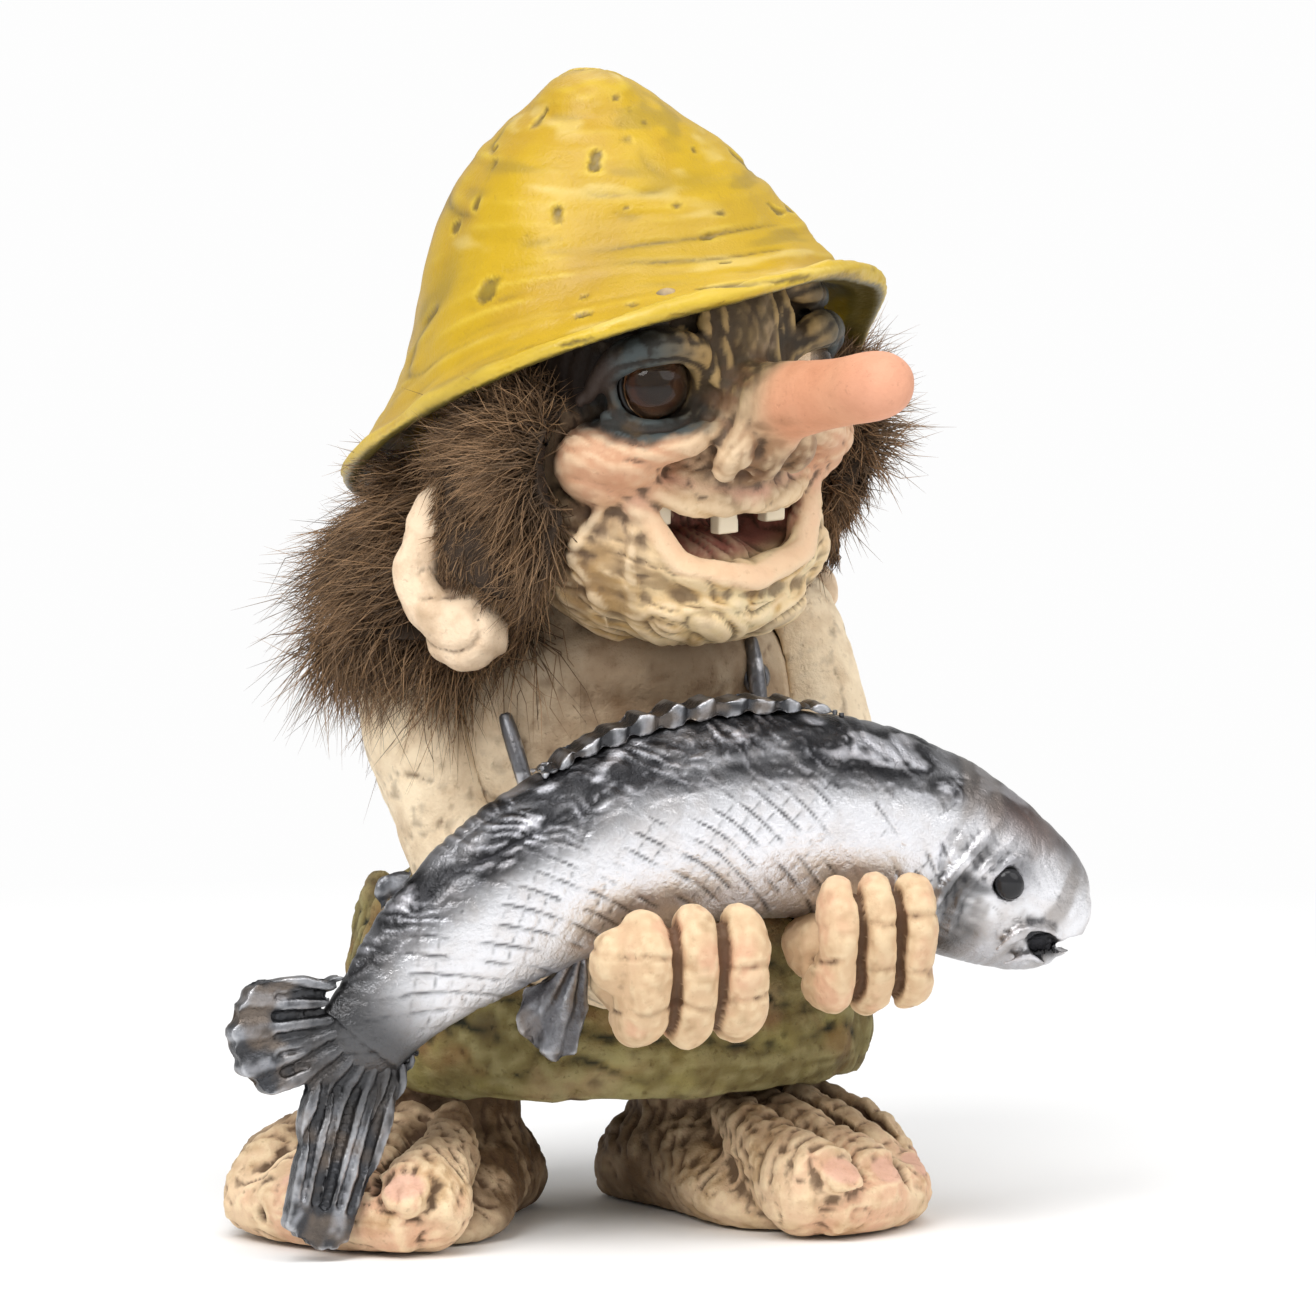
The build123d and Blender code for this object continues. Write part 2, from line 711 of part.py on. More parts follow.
# Braces
def brace_button():
    """Round button on the strap, seated on the chest."""
    share = 1 - (button_x / torso_half_width) ** 2
    y = torso_y - torso_half_depth * chest_depth_share * math.sqrt(share)
    return blob((button_x, y, button_z), (button_radius, button_radius, button_radius))


# Assembly: what is named first keeps its shape, what comes later is cut to seat against it
parts = {}

trunk = in_fish(fish_trunk())
parts["fish_eye"] = in_fish(Part() + fish_eye())
fish_cutters = [in_fish(fish_mouth())] + [in_fish(eye) for eye in fish_eye(socket_fit)]
for flank in (-1, 1):
    fish_cutters.append(in_fish(fish_groove(flank)))
parts["fish_body"] = cut(trunk, fish_cutters)

adipose = small_fin(
    adipose_deg, fish_half_depth * adipose_root_share, adipose_length, adipose_height, adipose_thickness,
    adipose_turn_deg)
pelvic = small_fin(
    pelvic_deg, -fish_half_depth * pelvic_root_share, pelvic_length, pelvic_half_width, pelvic_thickness,
    pelvic_turn_deg)
parts["fish_tail_fin"] = cut(in_fish(tail_fin()), [trunk])
parts["fish_dorsal_fin"] = cut(in_fish(dorsal_fin()), [trunk])
parts["fish_adipose_fin"] = cut(in_fish(adipose), [trunk])
parts["fish_pelvic_fin"] = cut(in_fish(pelvic), [trunk])
fish = [trunk, parts["fish_tail_fin"], parts["fish_pelvic_fin"]]

head = in_head(head_casting())
teeth = [in_head(tooth(side)) for side in tooth_sides]
hat_outer = in_head(hat_skin(0, 0))
torso = torso_body()
parts["teeth"] = Part() + teeth
parts["hat"] = cut(hat_outer, [in_head(hat_skin(hat_wall, cut_overrun))])
parts["head"] = cut(head, [parts["hat"]] + teeth)
parts["torso"] = cut(torso, [head])
for side_name, side in (("right", -1), ("left", 1)):
    glass, backing = eye_pieces(side)
    parts[side_name + "_eye_glass"] = in_head(glass)
    parts[side_name + "_eye_iris"] = in_head(backing)

right_ear = in_head(ear(-1))
left_ear = in_head(ear(1))
parts["right_ear"] = cut(right_ear, [head, torso, hat_outer])
parts["left_ear"] = cut(left_ear, [head, torso, hat_outer])

right_hand = hand(right_hand_x, right_hand_z, -1, right_thumb_reach)
left_hand = hand(left_hand_x, left_hand_z, 1, left_thumb_reach)
parts["right_hand"] = cut(right_hand, [trunk])
parts["left_hand"] = cut(left_hand, [trunk])
right_arm = arm(right_shoulder, right_elbow_bend, right_hand_x, right_hand_z)
left_arm = arm(left_shoulder, left_elbow_bend, left_hand_x, left_hand_z)
arm_cutters = [torso, trunk, head]
parts["right_arm"] = cut(right_arm, arm_cutters + [right_hand, right_ear])
parts["left_arm"] = cut(left_arm, arm_cutters + [left_hand, left_ear])

right_foot = Location((right_foot_x, right_foot_y, 0), (0, 0, right_foot_splay_deg)) * foot(1)
left_foot = Location((left_foot_x, left_foot_y, 0), (0, 0, left_foot_splay_deg)) * foot(-1)
parts["right_foot"] = cut(right_foot, fish)
parts["left_foot"] = cut(left_foot, [right_foot])
limbs = [right_foot, left_foot, right_arm, left_arm, right_hand, left_hand]
parts["skirt"] = cut(skirt_body(), [torso] + fish + limbs)

right_brace = limb(right_brace_top, right_brace_bend, right_brace_end, brace_radius, brace_profile_shares)
left_brace = limb(left_brace_top, left_brace_bend, left_brace_end, brace_radius, brace_profile_shares)
parts["right_brace"] = cut(right_brace, [torso, trunk])
parts["left_brace"] = cut(left_brace, [torso, trunk])
parts["brace_button"] = cut(brace_button(), [torso, left_brace])

fur_cutters = [head, hat_outer, torso, right_ear, left_ear, right_arm, left_arm]
right_burn = in_head(pebble(right_sideburn_centre, right_sideburn_half))
left_burn = in_head(pebble(left_sideburn_centre, left_sideburn_half))
back_hair = in_head(pebble((0, fur_back_depth, fur_back_z), fur_back_half))
parts["fur_sideburn_right"] = cut(right_burn, fur_cutters)
parts["fur_sideburn_left"] = cut(left_burn, fur_cutters)
parts["fur_back"] = cut(back_hair, fur_cutters + [right_burn, left_burn])

# Origin: the whole figure stands centred over it
boxes = [shape.bounding_box() for shape in parts.values()]
middle_x = (min(box.min.X for box in boxes) + max(box.max.X for box in boxes)) / 2
middle_y = (min(box.min.Y for box in boxes) + max(box.max.Y for box in boxes)) / 2

os.makedirs("parts", exist_ok=True)
for node, shape in parts.items():
    export_step(Location((-middle_x, -middle_y, 0)) * shape, f"parts/{node}.step")
print("body axis at", round(-middle_x, 3), round(-middle_y, 3))
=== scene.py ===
import logging
import math
import random
from dataclasses import dataclass
from enum import Enum
from typing import Iterable, Optional, Sequence

import bpy
import numpy as np
from mathutils import Euler, Matrix, Vector


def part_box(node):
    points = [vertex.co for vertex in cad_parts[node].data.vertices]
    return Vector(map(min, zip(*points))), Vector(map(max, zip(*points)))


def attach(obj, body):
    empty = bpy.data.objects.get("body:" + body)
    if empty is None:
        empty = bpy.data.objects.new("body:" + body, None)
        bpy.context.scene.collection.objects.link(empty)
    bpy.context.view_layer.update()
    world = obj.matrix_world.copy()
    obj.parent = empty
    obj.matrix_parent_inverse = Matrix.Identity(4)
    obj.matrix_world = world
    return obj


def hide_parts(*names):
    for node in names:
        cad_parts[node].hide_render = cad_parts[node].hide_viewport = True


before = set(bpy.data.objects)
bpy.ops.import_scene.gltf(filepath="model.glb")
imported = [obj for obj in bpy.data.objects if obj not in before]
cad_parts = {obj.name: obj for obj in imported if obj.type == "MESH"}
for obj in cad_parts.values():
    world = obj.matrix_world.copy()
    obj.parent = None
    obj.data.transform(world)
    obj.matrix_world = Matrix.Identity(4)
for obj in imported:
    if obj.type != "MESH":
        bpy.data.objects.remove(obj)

logging.basicConfig(level=logging.INFO, format="%(message)s")
log = logging.getLogger("troll")
MM = 0.001
SOLE_MM = 0.3
Colour = tuple[float, float, float]
Point = tuple[float, float, float]


class Side(Enum):
    """The figure's own right and left; the value is the sign of X."""

    RIGHT = -1
    LEFT = 1

    @property
    def word(self) -> str:
        """The word used in node names.

        Returns:
            The word.
        """
        return self.name.lower()


class Slot(Enum):
    """Material slots of the record."""

    SKIN = "skin_paint"
    MOSS = "moss_paint"
    GLASS = "clear_glass"
    IRIS = "iris_paint"
    TOOTH = "tooth_paint"
    YELLOW = "yellow_paint"
    FUR = "brown_fur"
    SILVER = "silver_paint"
    FISH_EYE = "fish_eye_paint"
    METAL = "grey_metal"


# Frames: millimetres from the body axis, from the head and from the fish

@dataclass(frozen=True)
class Axis:
    """A vertical axis on the floor of the CAD model, with a turn about it, in millimetres."""

    x: float
    y: float
    z: float = 0.0
    turn_deg: float = 0.0

    def local(self, points: np.ndarray) -> np.ndarray:
        """Points of the body frame in this frame.

        Args:
            points: N x 3 array in millimetres in the body frame.

        Returns:
            N x 3 array in millimetres in this frame.
        """
        turn = math.radians(self.turn_deg)
        dx, dy = points[:, 0] - self.x, points[:, 1] - self.y
        out = np.empty_like(points)
        out[:, 0] = dx * math.cos(turn) + dy * math.sin(turn)
        out[:, 1] = -dx * math.sin(turn) + dy * math.cos(turn)
        out[:, 2] = points[:, 2] - self.z
        return out

    def world(self, point: Point) -> Point:
        """A point of this frame in the body frame.

        Args:
            point: place in millimetres in this frame.

        Returns:
            The place in millimetres in the body frame.
        """
        turn = math.radians(self.turn_deg)
        x, y, z = point
        return (
            self.x + x * math.cos(turn) - y * math.sin(turn),
            self.y + x * math.sin(turn) + y * math.cos(turn),
            self.z + z,
        )

    def direction(self, point: Point) -> Point:
        """A direction of this frame in the body frame.

        Args:
            point: direction in this frame.

        Returns:
            The direction in the body frame.
        """
        turn = math.radians(self.turn_deg)
        x, y, z = point
        return (x * math.cos(turn) - y * math.sin(turn), x * math.sin(turn) + y * math.cos(turn), z)


def body_axis() -> np.ndarray:
    """Place of the body axis on the floor of the CAD model, in metres.

    Returns:
        Array of three numbers, found from the box of the torso.
    """
    low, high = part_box("torso")
    return np.array([(low[0] + high[0]) / 2, high[1] - 0.021, 0.0])


ORIGIN = body_axis()
BODY = Axis(0.0, 0.0)
HEAD = Axis(2.0, -6.0, 0.0, 22.0)
FISH = Axis(12.5, -36.5, -18.3, 2.4)


@dataclass(frozen=True)
class Brim:
    """Rim of the hat's brim, an ellipse that rises towards the face, in the head frame."""

    half_width: float = 36.5
    half_depth: float = 38.1
    centre_depth: float = 5.5
    centre_height: float = 118.7
    rise: float = 18.6
    thickness: float = 2.9
    steps: int = 28

    def line(self) -> list[Point]:
        """Places round the rim.

        Returns:
            The places, the first one again at the end.
        """
        turns = [2 * math.pi * step / self.steps for step in range(self.steps + 1)]
        return [
            (
                self.half_width * math.cos(turn), self.centre_depth + self.half_depth * math.sin(turn),
                self.centre_height - self.rise * math.sin(turn)
            )
            for turn in turns
        ]

    def height(self, depth: np.ndarray) -> np.ndarray:
        """Height of the rim's plane.

        Args:
            depth: N depths in the head frame.

        Returns:
            N heights.
        """
        return self.centre_height + self.rise * (self.centre_depth - depth) / self.half_depth


BRIM = Brim()


# Fields: smooth values over space

def hash_values(cells: np.ndarray, seed: int) -> np.ndarray:
    """Repeatable value in -1..1 for each integer cell.

    Args:
        cells: N x 3 integer array.
        seed: changes the pattern.

    Returns:
        N values.
    """
    mixed = cells[:, 0] * 73856093 ^ cells[:, 1] * 19349663 ^ cells[:, 2] * 83492791 ^ seed * 2654435
    mixed = (mixed ^ (mixed >> 13)) * 1274126177
    mixed = mixed ^ (mixed >> 16)
    return (mixed & 0xFFFF) / 32767.5 - 1.0


def noise(points: np.ndarray, size: float, seed: int = 0, stretch: Point = (1.0, 1.0, 1.0)) -> np.ndarray:
    """Smooth value noise in -1..1.

    Args:
        points: N x 3 array.
        size: width of one lump.
        seed: changes the pattern.
        stretch: how much longer the lumps are along each axis.

    Returns:
        N values.
    """
    scaled = points / (size * np.array(stretch)) + seed * 17.31
    base = np.floor(scaled).astype(np.int64)
    part = scaled - base
    part = part * part * (3 - 2 * part)
    total = np.zeros(len(points))
    for corner in range(8):
        step = np.array([corner & 1, corner >> 1 & 1, corner >> 2 & 1])
        weight = np.prod(np.where(step == 1, part, 1 - part), axis=1)
        total += weight * hash_values(base + step, seed)
    return total


def layered(
    points: np.ndarray, size: float, seed: int = 0, layers: int = 3, stretch: Point = (1.0, 1.0, 1.0)
) -> np.ndarray:
    """Noise in layers, each half as wide and strong as the one before.

    Args:
        points: N x 3 array.
        size: width of the widest lumps.
        seed: changes the pattern.
        layers: how many layers.
        stretch: how much longer the lumps are along each axis.

    Returns:
        N values, mostly in -1..1.
    """
    total, gain = np.zeros(len(points)), 1.0
    for layer in range(layers):
        total += gain * noise(points, size / 2 ** layer, seed + layer, stretch)
        gain *= 0.5
    return total / (2 - 2 * gain)


def ridges(
    points: np.ndarray, size: float, seed: int = 0, stretch: Point = (1.0, 1.0, 1.0), sharp: float = 2.0
) -> np.ndarray:
    """Thin creases in 0..1, 1 in the crease, along the zero lines of noise.

    Args:
        points: N x 3 array.
        size: width of one field between creases.
        seed: changes the pattern.
        stretch: how much longer the fields are along each axis.
        sharp: how narrow the creases are.

    Returns:
        N values, 1 in a crease.
    """
    return (1 - np.clip(np.abs(noise(points, size, seed, stretch)) * 2.2, 0, 1)) ** sharp


def near(points: np.ndarray, centre: Point, half: Point) -> np.ndarray:
    """Soft mask in 0..1 about a centre, falling off over the half sizes.

    Args:
        points: N x 3 array.
        centre: middle of the mask.
        half: distance along each axis at which it has fallen to about a third.

    Returns:
        N values in 0..1.
    """
    scaled = (points - np.array(centre)) / np.array(half)
    return np.exp(-np.sum(scaled ** 2, axis=1))


def ramp(values: np.ndarray, low: float, high: float) -> np.ndarray:
    """Smooth step from 0 at low to 1 at high.

    Args:
        values: N values.
        low: where the step starts.
        high: where the step ends.

    Returns:
        N values in 0..1.
    """
    part = np.clip((values - low) / (high - low), 0, 1)
    return part * part * (3 - 2 * part)


def stripes(
    points: np.ndarray, way: Point, size: float, seed: int, warp: float = 0.6, sharp: float = 3.0
) -> np.ndarray:
    """Wavy parallel valleys in 0..1.

    Args:
        points: N x 3 array.
        way: direction across the valleys.
        size: distance from valley to valley.
        seed: changes the waves.
        warp: how far the valleys wander, as a share of their distance.
        sharp: how narrow the valleys are.

    Returns:
        N values, 1 in a valley.
    """
    unit = np.array(way) / np.linalg.norm(way)
    run = points @ unit / size + warp * layered(points, size * 2.6, seed)
    return (0.5 + 0.5 * np.cos(2 * math.pi * run)) ** sharp


def rings(
    points: np.ndarray, centre: Point, size: float, seed: int, warp: float = 0.4, sharp: float = 3.0
) -> np.ndarray:
    """Wavy valleys in 0..1 in rings about a centre.

    Args:
        points: N x 3 array.
        centre: middle of the rings.
        size: distance from valley to valley.
        seed: changes the waves.
        warp: how far the valleys wander, as a share of their distance.
        sharp: how narrow the valleys are.

    Returns:
        N values, 1 in a valley.
    """
    away = np.linalg.norm(points - np.array(centre), axis=1) / size + warp * layered(points, size * 2.6, seed)
    return (0.5 + 0.5 * np.cos(2 * math.pi * away)) ** sharp


def along_line(points: np.ndarray, line: Sequence[Point], width: float) -> np.ndarray:
    """Soft mask about a bent line.

    Args:
        points: N x 3 array.
        line: places that the line runs through.
        width: distance at which the mask has fallen to about a third.

    Returns:
        N values in 0..1.
    """
    best = np.full(len(points), 1e9)
    for start, end in zip(line[:-1], line[1:]):
        a, b = np.array(start), np.array(end)
        share = np.clip((points - a) @ (b - a) / max(float((b - a) @ (b - a)), 1e-9), 0, 1)
        gap = points - (a + share[:, None] * (b - a))
        best = np.minimum(best, np.sum(gap ** 2, axis=1))
    return np.exp(-best / width ** 2)


# Shaping

class Casting:
    """A closed mesh shaped in code; its points are read and written in millimetres of the body frame."""

    def __init__(self, name: str, obj: bpy.types.Object) -> None:
        """Take over an object as the casting.

        Args:
            name: piece name.
            obj: mesh object at the origin.
        """
        self.obj = obj
        self.obj.name = name
        self.obj.data.name = name
        self.coat: Optional[np.ndarray] = None

    @classmethod
    def from_nodes(cls, name: str, *nodes: str) -> "Casting":
        """Start from merged copies of the meshes of CAD nodes.

        Args:
            name: piece name.
            nodes: CAD node names.

        Returns:
            The new casting.
        """
        copies = []
        for node in nodes:
            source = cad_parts[node]
            data = source.data.copy()
            data.transform(source.matrix_world)
            data.materials.clear()
            copy = bpy.data.objects.new(name, data)
            bpy.context.scene.collection.objects.link(copy)
            copies.append(copy)
        casting = cls(name, copies[0])
        casting.take(copies[1:])
        casting.merge()
        return casting

    @classmethod
    def from_arrays(cls, name: str, points: np.ndarray, faces: Sequence[Sequence[int]]) -> "Casting":
        """Start from points in millimetres and faces.

        Args:
            name: piece name.
            points: N x 3 array in millimetres in the body frame.
            faces: corner numbers of each face.

        Returns:
            The new casting.
        """
        data = bpy.data.meshes.new(name)
        data.from_pydata((points * MM + ORIGIN).tolist(), [], [list(face) for face in faces])
        obj = bpy.data.objects.new(name, data)
        bpy.context.scene.collection.objects.link(obj)
        return cls(name, obj)

    def select(self) -> None:
        """Make this the only selected and active object."""
        for other in bpy.context.selected_objects:
            other.select_set(False)
        self.obj.select_set(True)
        bpy.context.view_layer.objects.active = self.obj

    def take(self, others: Iterable[bpy.types.Object]) -> None:
        """Join other objects into this one.

        Args:
            others: mesh objects, which are used up.
        """
        others = list(others)
        if not others:
            return
        self.select()
        for other in others:
            other.select_set(True)
        bpy.ops.object.join()

    def merge(self, distance: float = 0.00001) -> None:
        """Merge doubled points and turn the faces outwards.

        Args:
            distance: how far apart doubled points may lie, in metres.
        """
        self.select()
        bpy.ops.object.mode_set(mode="EDIT")
        bpy.ops.mesh.select_all(action="SELECT")
        bpy.ops.mesh.remove_doubles(threshold=distance)
        bpy.ops.mesh.normals_make_consistent(inside=False)
        bpy.ops.object.mode_set(mode="OBJECT")

    def add_ball(
        self, centre: Point, half: Point, turn_deg: Point = (0.0, 0.0, 0.0), axis: Axis = BODY
    ) -> None:
        """Add an ellipsoid.

        Args:
            centre: centre in millimetres in the axis frame.
            half: half sizes in millimetres.
            turn_deg: turn about X, Y and Z in degrees.
            axis: frame of the centre and of the turn.
        """
        for other in bpy.context.selected_objects:
            other.select_set(False)
        place = Vector(axis.world(centre)) * MM + Vector(ORIGIN)
        bpy.ops.mesh.primitive_ico_sphere_add(subdivisions=4, radius=1.0)
        ball = bpy.context.active_object
        turn = Matrix.Rotation(
            math.radians(axis.turn_deg), 4, "Z"
        ) @ Euler([math.radians(a) for a in turn_deg]).to_matrix().to_4x4()
        ball.data.transform(Matrix.Translation(place) @ turn @ Matrix.Diagonal(Vector(half) * MM).to_4x4())
        self.take([ball])

    def add_cord(
        self, line: Sequence[Point], radii: Sequence[float], axis: Axis = BODY, sides: int = 12,
        flat: float = 1.0
    ) -> None:
        """Add a closed tapering tube along a smooth line.

        Args:
            line: places in millimetres in the axis frame that the tube runs through.
            radii: radius at each place.
            axis: frame of the places.
            sides: sides of the tube.
            flat: height of the section as a share of its width.
        """
        points, faces = tube([axis.world(place) for place in line], radii, sides, flat)
        extra = Casting.from_arrays("cord", points, faces)
        self.take([extra.obj])

    def apply(self, kind: str, **settings: object) -> None:
        """Add a modifier with settings and apply it.

        Args:
            kind: Blender's name of the modifier type.
            settings: values of its properties.
        """
        self.select()
        modifier = self.obj.modifiers.new(kind.lower(), kind)
        for key, value in settings.items():
            setattr(modifier, key, value)
        bpy.ops.object.modifier_apply(modifier=modifier.name)

    def fuse(self, voxel: float) -> None:
        """Fuse all closed lumps of the mesh into one even skin.

        Args:
            voxel: size of the grid in millimetres.
        """
        self.apply("REMESH", mode="VOXEL", voxel_size=voxel * MM, adaptivity=0.0)

    def smooth(self, rounds: int, factor: float = 0.5) -> None:
        """Smooth the mesh.

        Args:
            rounds: how many times.
            factor: how strongly each time.
        """
        self.apply("SMOOTH", factor=factor, iterations=rounds)

    def read(self) -> np.ndarray:
        """Points in millimetres in the body frame.

        Returns:
            N x 3 array.
        """
        flat = np.empty(len(self.obj.data.vertices) * 3)
        self.obj.data.vertices.foreach_get("co", flat)
        return (flat.reshape(-1, 3) - ORIGIN) / MM

    def write(self, points: np.ndarray) -> None:
        """Set the points, in millimetres in the body frame.

        Args:
            points: N x 3 array.
        """
        self.obj.data.vertices.foreach_set("co", (points * MM + ORIGIN).ravel())
        self.obj.data.update()

    def normals(self) -> np.ndarray:
        """Normal of each point.

        Returns:
            N x 3 array of unit vectors.
        """
        flat = np.empty(len(self.obj.data.vertices) * 3)
        self.obj.data.vertex_normals.foreach_get("vector", flat)
        return flat.reshape(-1, 3)

    def raise_by(self, heights: np.ndarray) -> None:
        """Move each point out along its normal by a height in millimetres.

        Args:
            heights: N heights, negative for inwards.
        """
        self.write(self.read() + self.normals() * heights[:, None])

    def push(self, centre: Point, half: Point, way: Point, axis: Axis = BODY) -> None:
        """Push the skin about a centre, softly, by a vector in the axis frame.

        Args:
            centre: where the push is strongest, in the axis frame.
            half: distance along each axis at which it has fallen to about a third.
            way: the push in millimetres, in the axis frame.
            axis: frame of these three.
        """
        points = self.read()
        mask = near(axis.local(points), centre, half)
        self.write(points + mask[:, None] * np.array(axis.direction(way)))

    def hollows(self, rounds: int = 1) -> np.ndarray:
        """How deep each point lies against its neighbours, in millimetres, positive in hollows.

        Args:
            rounds: how wide the neighbourhood is, in steps along edges.

        Returns:
            N depths.
        """
        data = self.obj.data
        pairs = np.empty(len(data.edges) * 2, dtype=np.int64)
        data.edges.foreach_get("vertices", pairs)
        pairs = pairs.reshape(-1, 2)
        points, count = self.read(), len(data.vertices)
        degree = np.bincount(pairs.ravel(), minlength=count).astype(float)
        degree[degree == 0] = 1
        mean = points.copy()
        for _ in range(rounds):
            total = np.zeros_like(mean)
            for axis in range(3):
                total[:, axis] += np.bincount(pairs[:, 0], weights=mean[pairs[:, 1], axis], minlength=count)
                total[:, axis] += np.bincount(pairs[:, 1], weights=mean[pairs[:, 0], axis], minlength=count)
            mean = total / degree[:, None]
        return np.sum((mean - points) * self.normals(), axis=1)

    def base(self, colour: Colour) -> None:
        """Lay one colour over the whole piece.

        Args:
            colour: linear colour.
        """
        self.coat = np.tile(np.array(colour), (len(self.obj.data.vertices), 1))

    def wash(self, colour: Colour, mask: np.ndarray) -> None:
        """Lay a colour over the coat where the mask says.

        Args:
            colour: linear colour.
            mask: N strengths, cut to 0..1.
        """
        mask = np.clip(mask, 0, 1)[:, None]
        self.coat = self.coat * (1 - mask) + np.array(colour) * mask

    def finish_coat(self) -> None:
        """Store the coat as a colour attribute of the points."""
        attribute = self.obj.data.color_attributes.new("coat", "FLOAT_COLOR", "POINT")
        values = np.ones((len(self.coat), 4))
        values[:, :3] = np.clip(self.coat, 0, 1)
        attribute.data.foreach_set("color", values.ravel())

    def settle(self) -> None:
        """Draw what dips below the floor up to it, within the sole."""
        points = self.read()
        lowest = points[:, 2].min()
        if lowest < 0:
            low = np.minimum(points[:, 2], SOLE_MM)
            points[:, 2] += (SOLE_MM - low) * (1 - SOLE_MM / (SOLE_MM - lowest))
            self.write(points)

    def publish(self, slot: Slot, material: bpy.types.Material, *nodes: str) -> bpy.types.Object:
        """Give the piece its material and tie it to the frame.

        Args:
            slot: slot of the record; not used.
            material: finish.
            nodes: CAD nodes that the piece stands for.

        Returns:
            The finished object.
        """
        if self.coat is not None:
            self.finish_coat()
        self.settle()
        self.obj.data.materials.clear()
        self.obj.data.materials.append(material)
        self.obj.data.polygons.foreach_set("use_smooth", [True] * len(self.obj.data.polygons))
        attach(self.obj, "root")
        if nodes:
            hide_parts(*nodes)
        log.info("piece %s: %d faces", self.obj.name, len(self.obj.data.polygons))
        return self.obj


def smooth_line(line: Sequence[Point], steps: int) -> np.ndarray:
    """Points on a smooth curve through the given places.

    Args:
        line: places.
        steps: steps between two places.

    Returns:
        N x 3 array.
    """
    places = np.array(line, dtype=float)
    padded = np.vstack([2 * places[0] - places[1], places, 2 * places[-1] - places[-2]])
    out = []
    for index in range(len(places) - 1):
        p0, p1, p2, p3 = padded[index:index + 4]
        for step in range(steps):
            t = step / steps
            out.append(
                0.5
                * (
                    2 * p1 + (p2 - p0) * t + (2 * p0 - 5 * p1 + 4 * p2 - p3) * t ** 2
                    + (3 * p1 - p0 - 3 * p2 + p3) * t ** 3
                )
            )
    out.append(places[-1])
    return np.array(out)


def tube(
    line: Sequence[Point], radii: Sequence[float], sides: int, flat: float = 1.0, steps: int = 5
) -> tuple[np.ndarray, list[list[int]]]:
    """Closed tube through places with changing radius.

    Args:
        line: places in millimetres.
        radii: radius at each place.
        sides: sides of the tube.
        flat: height of the section as a share of its width.
        steps: rings between two places.

    Returns:
        Points and faces.
    """
    centres = smooth_line(line, steps)
    sizes = np.interp(np.linspace(0, len(radii) - 1, len(centres)), range(len(radii)), radii)
    points, faces = [], []
    tangent = np.gradient(centres, axis=0)
    tangent /= np.linalg.norm(tangent, axis=1)[:, None]
    up = np.array([0.0, 0.0, 1.0]) if abs(tangent[0][2]) < 0.9 else np.array([0.0, 1.0, 0.0])
    for index, (centre, size) in enumerate(zip(centres, sizes)):
        across = np.cross(tangent[index], up)
        across /= np.linalg.norm(across)
        up = np.cross(across, tangent[index])
        for side in range(sides):
            angle = 2 * math.pi * side / sides
            points.append(centre + size * (math.cos(angle) * across + flat * math.sin(angle) * up))
    for ring in range(len(centres) - 1):
        for side in range(sides):
            a, b = ring * sides + side, ring * sides + (side + 1) % sides
            faces.append([a, b, b + sides, a + sides])
    first, last = len(points), len(points) + 1
    points.append(centres[0] - tangent[0] * sizes[0] * 0.6)
    points.append(centres[-1] + tangent[-1] * sizes[-1] * 0.6)
    end = (len(centres) - 1) * sides
    for side in range(sides):
        faces.append([first, (side + 1) % sides, side])
        faces.append([last, end + side, end + (side + 1) % sides])
    return np.array(points), faces


# Finishes

def new_group(
    name: str, inputs: Sequence[tuple[str, str, float]], outputs: Sequence[tuple[str, str]]
) -> tuple[bpy.types.NodeTree, bpy.types.Node, bpy.types.Node]:
    """New shader node group with its sockets.

    Args:
        name: group name.
        inputs: name, socket type and default of each input.
        outputs: name and socket type of each output.

    Returns:
        The tree and its input and output nodes.
    """
    tree = bpy.data.node_groups.new(name, "ShaderNodeTree")
    for label, kind, default in inputs:
        socket = tree.interface.new_socket(label, in_out="INPUT", socket_type=kind)
        if kind == "NodeSocketFloat":
            socket.default_value = default
    for label, kind in outputs:
        tree.interface.new_socket(label, in_out="OUTPUT", socket_type=kind)
    return tree, tree.nodes.new("NodeGroupInput"), tree.nodes.new("NodeGroupOutput")


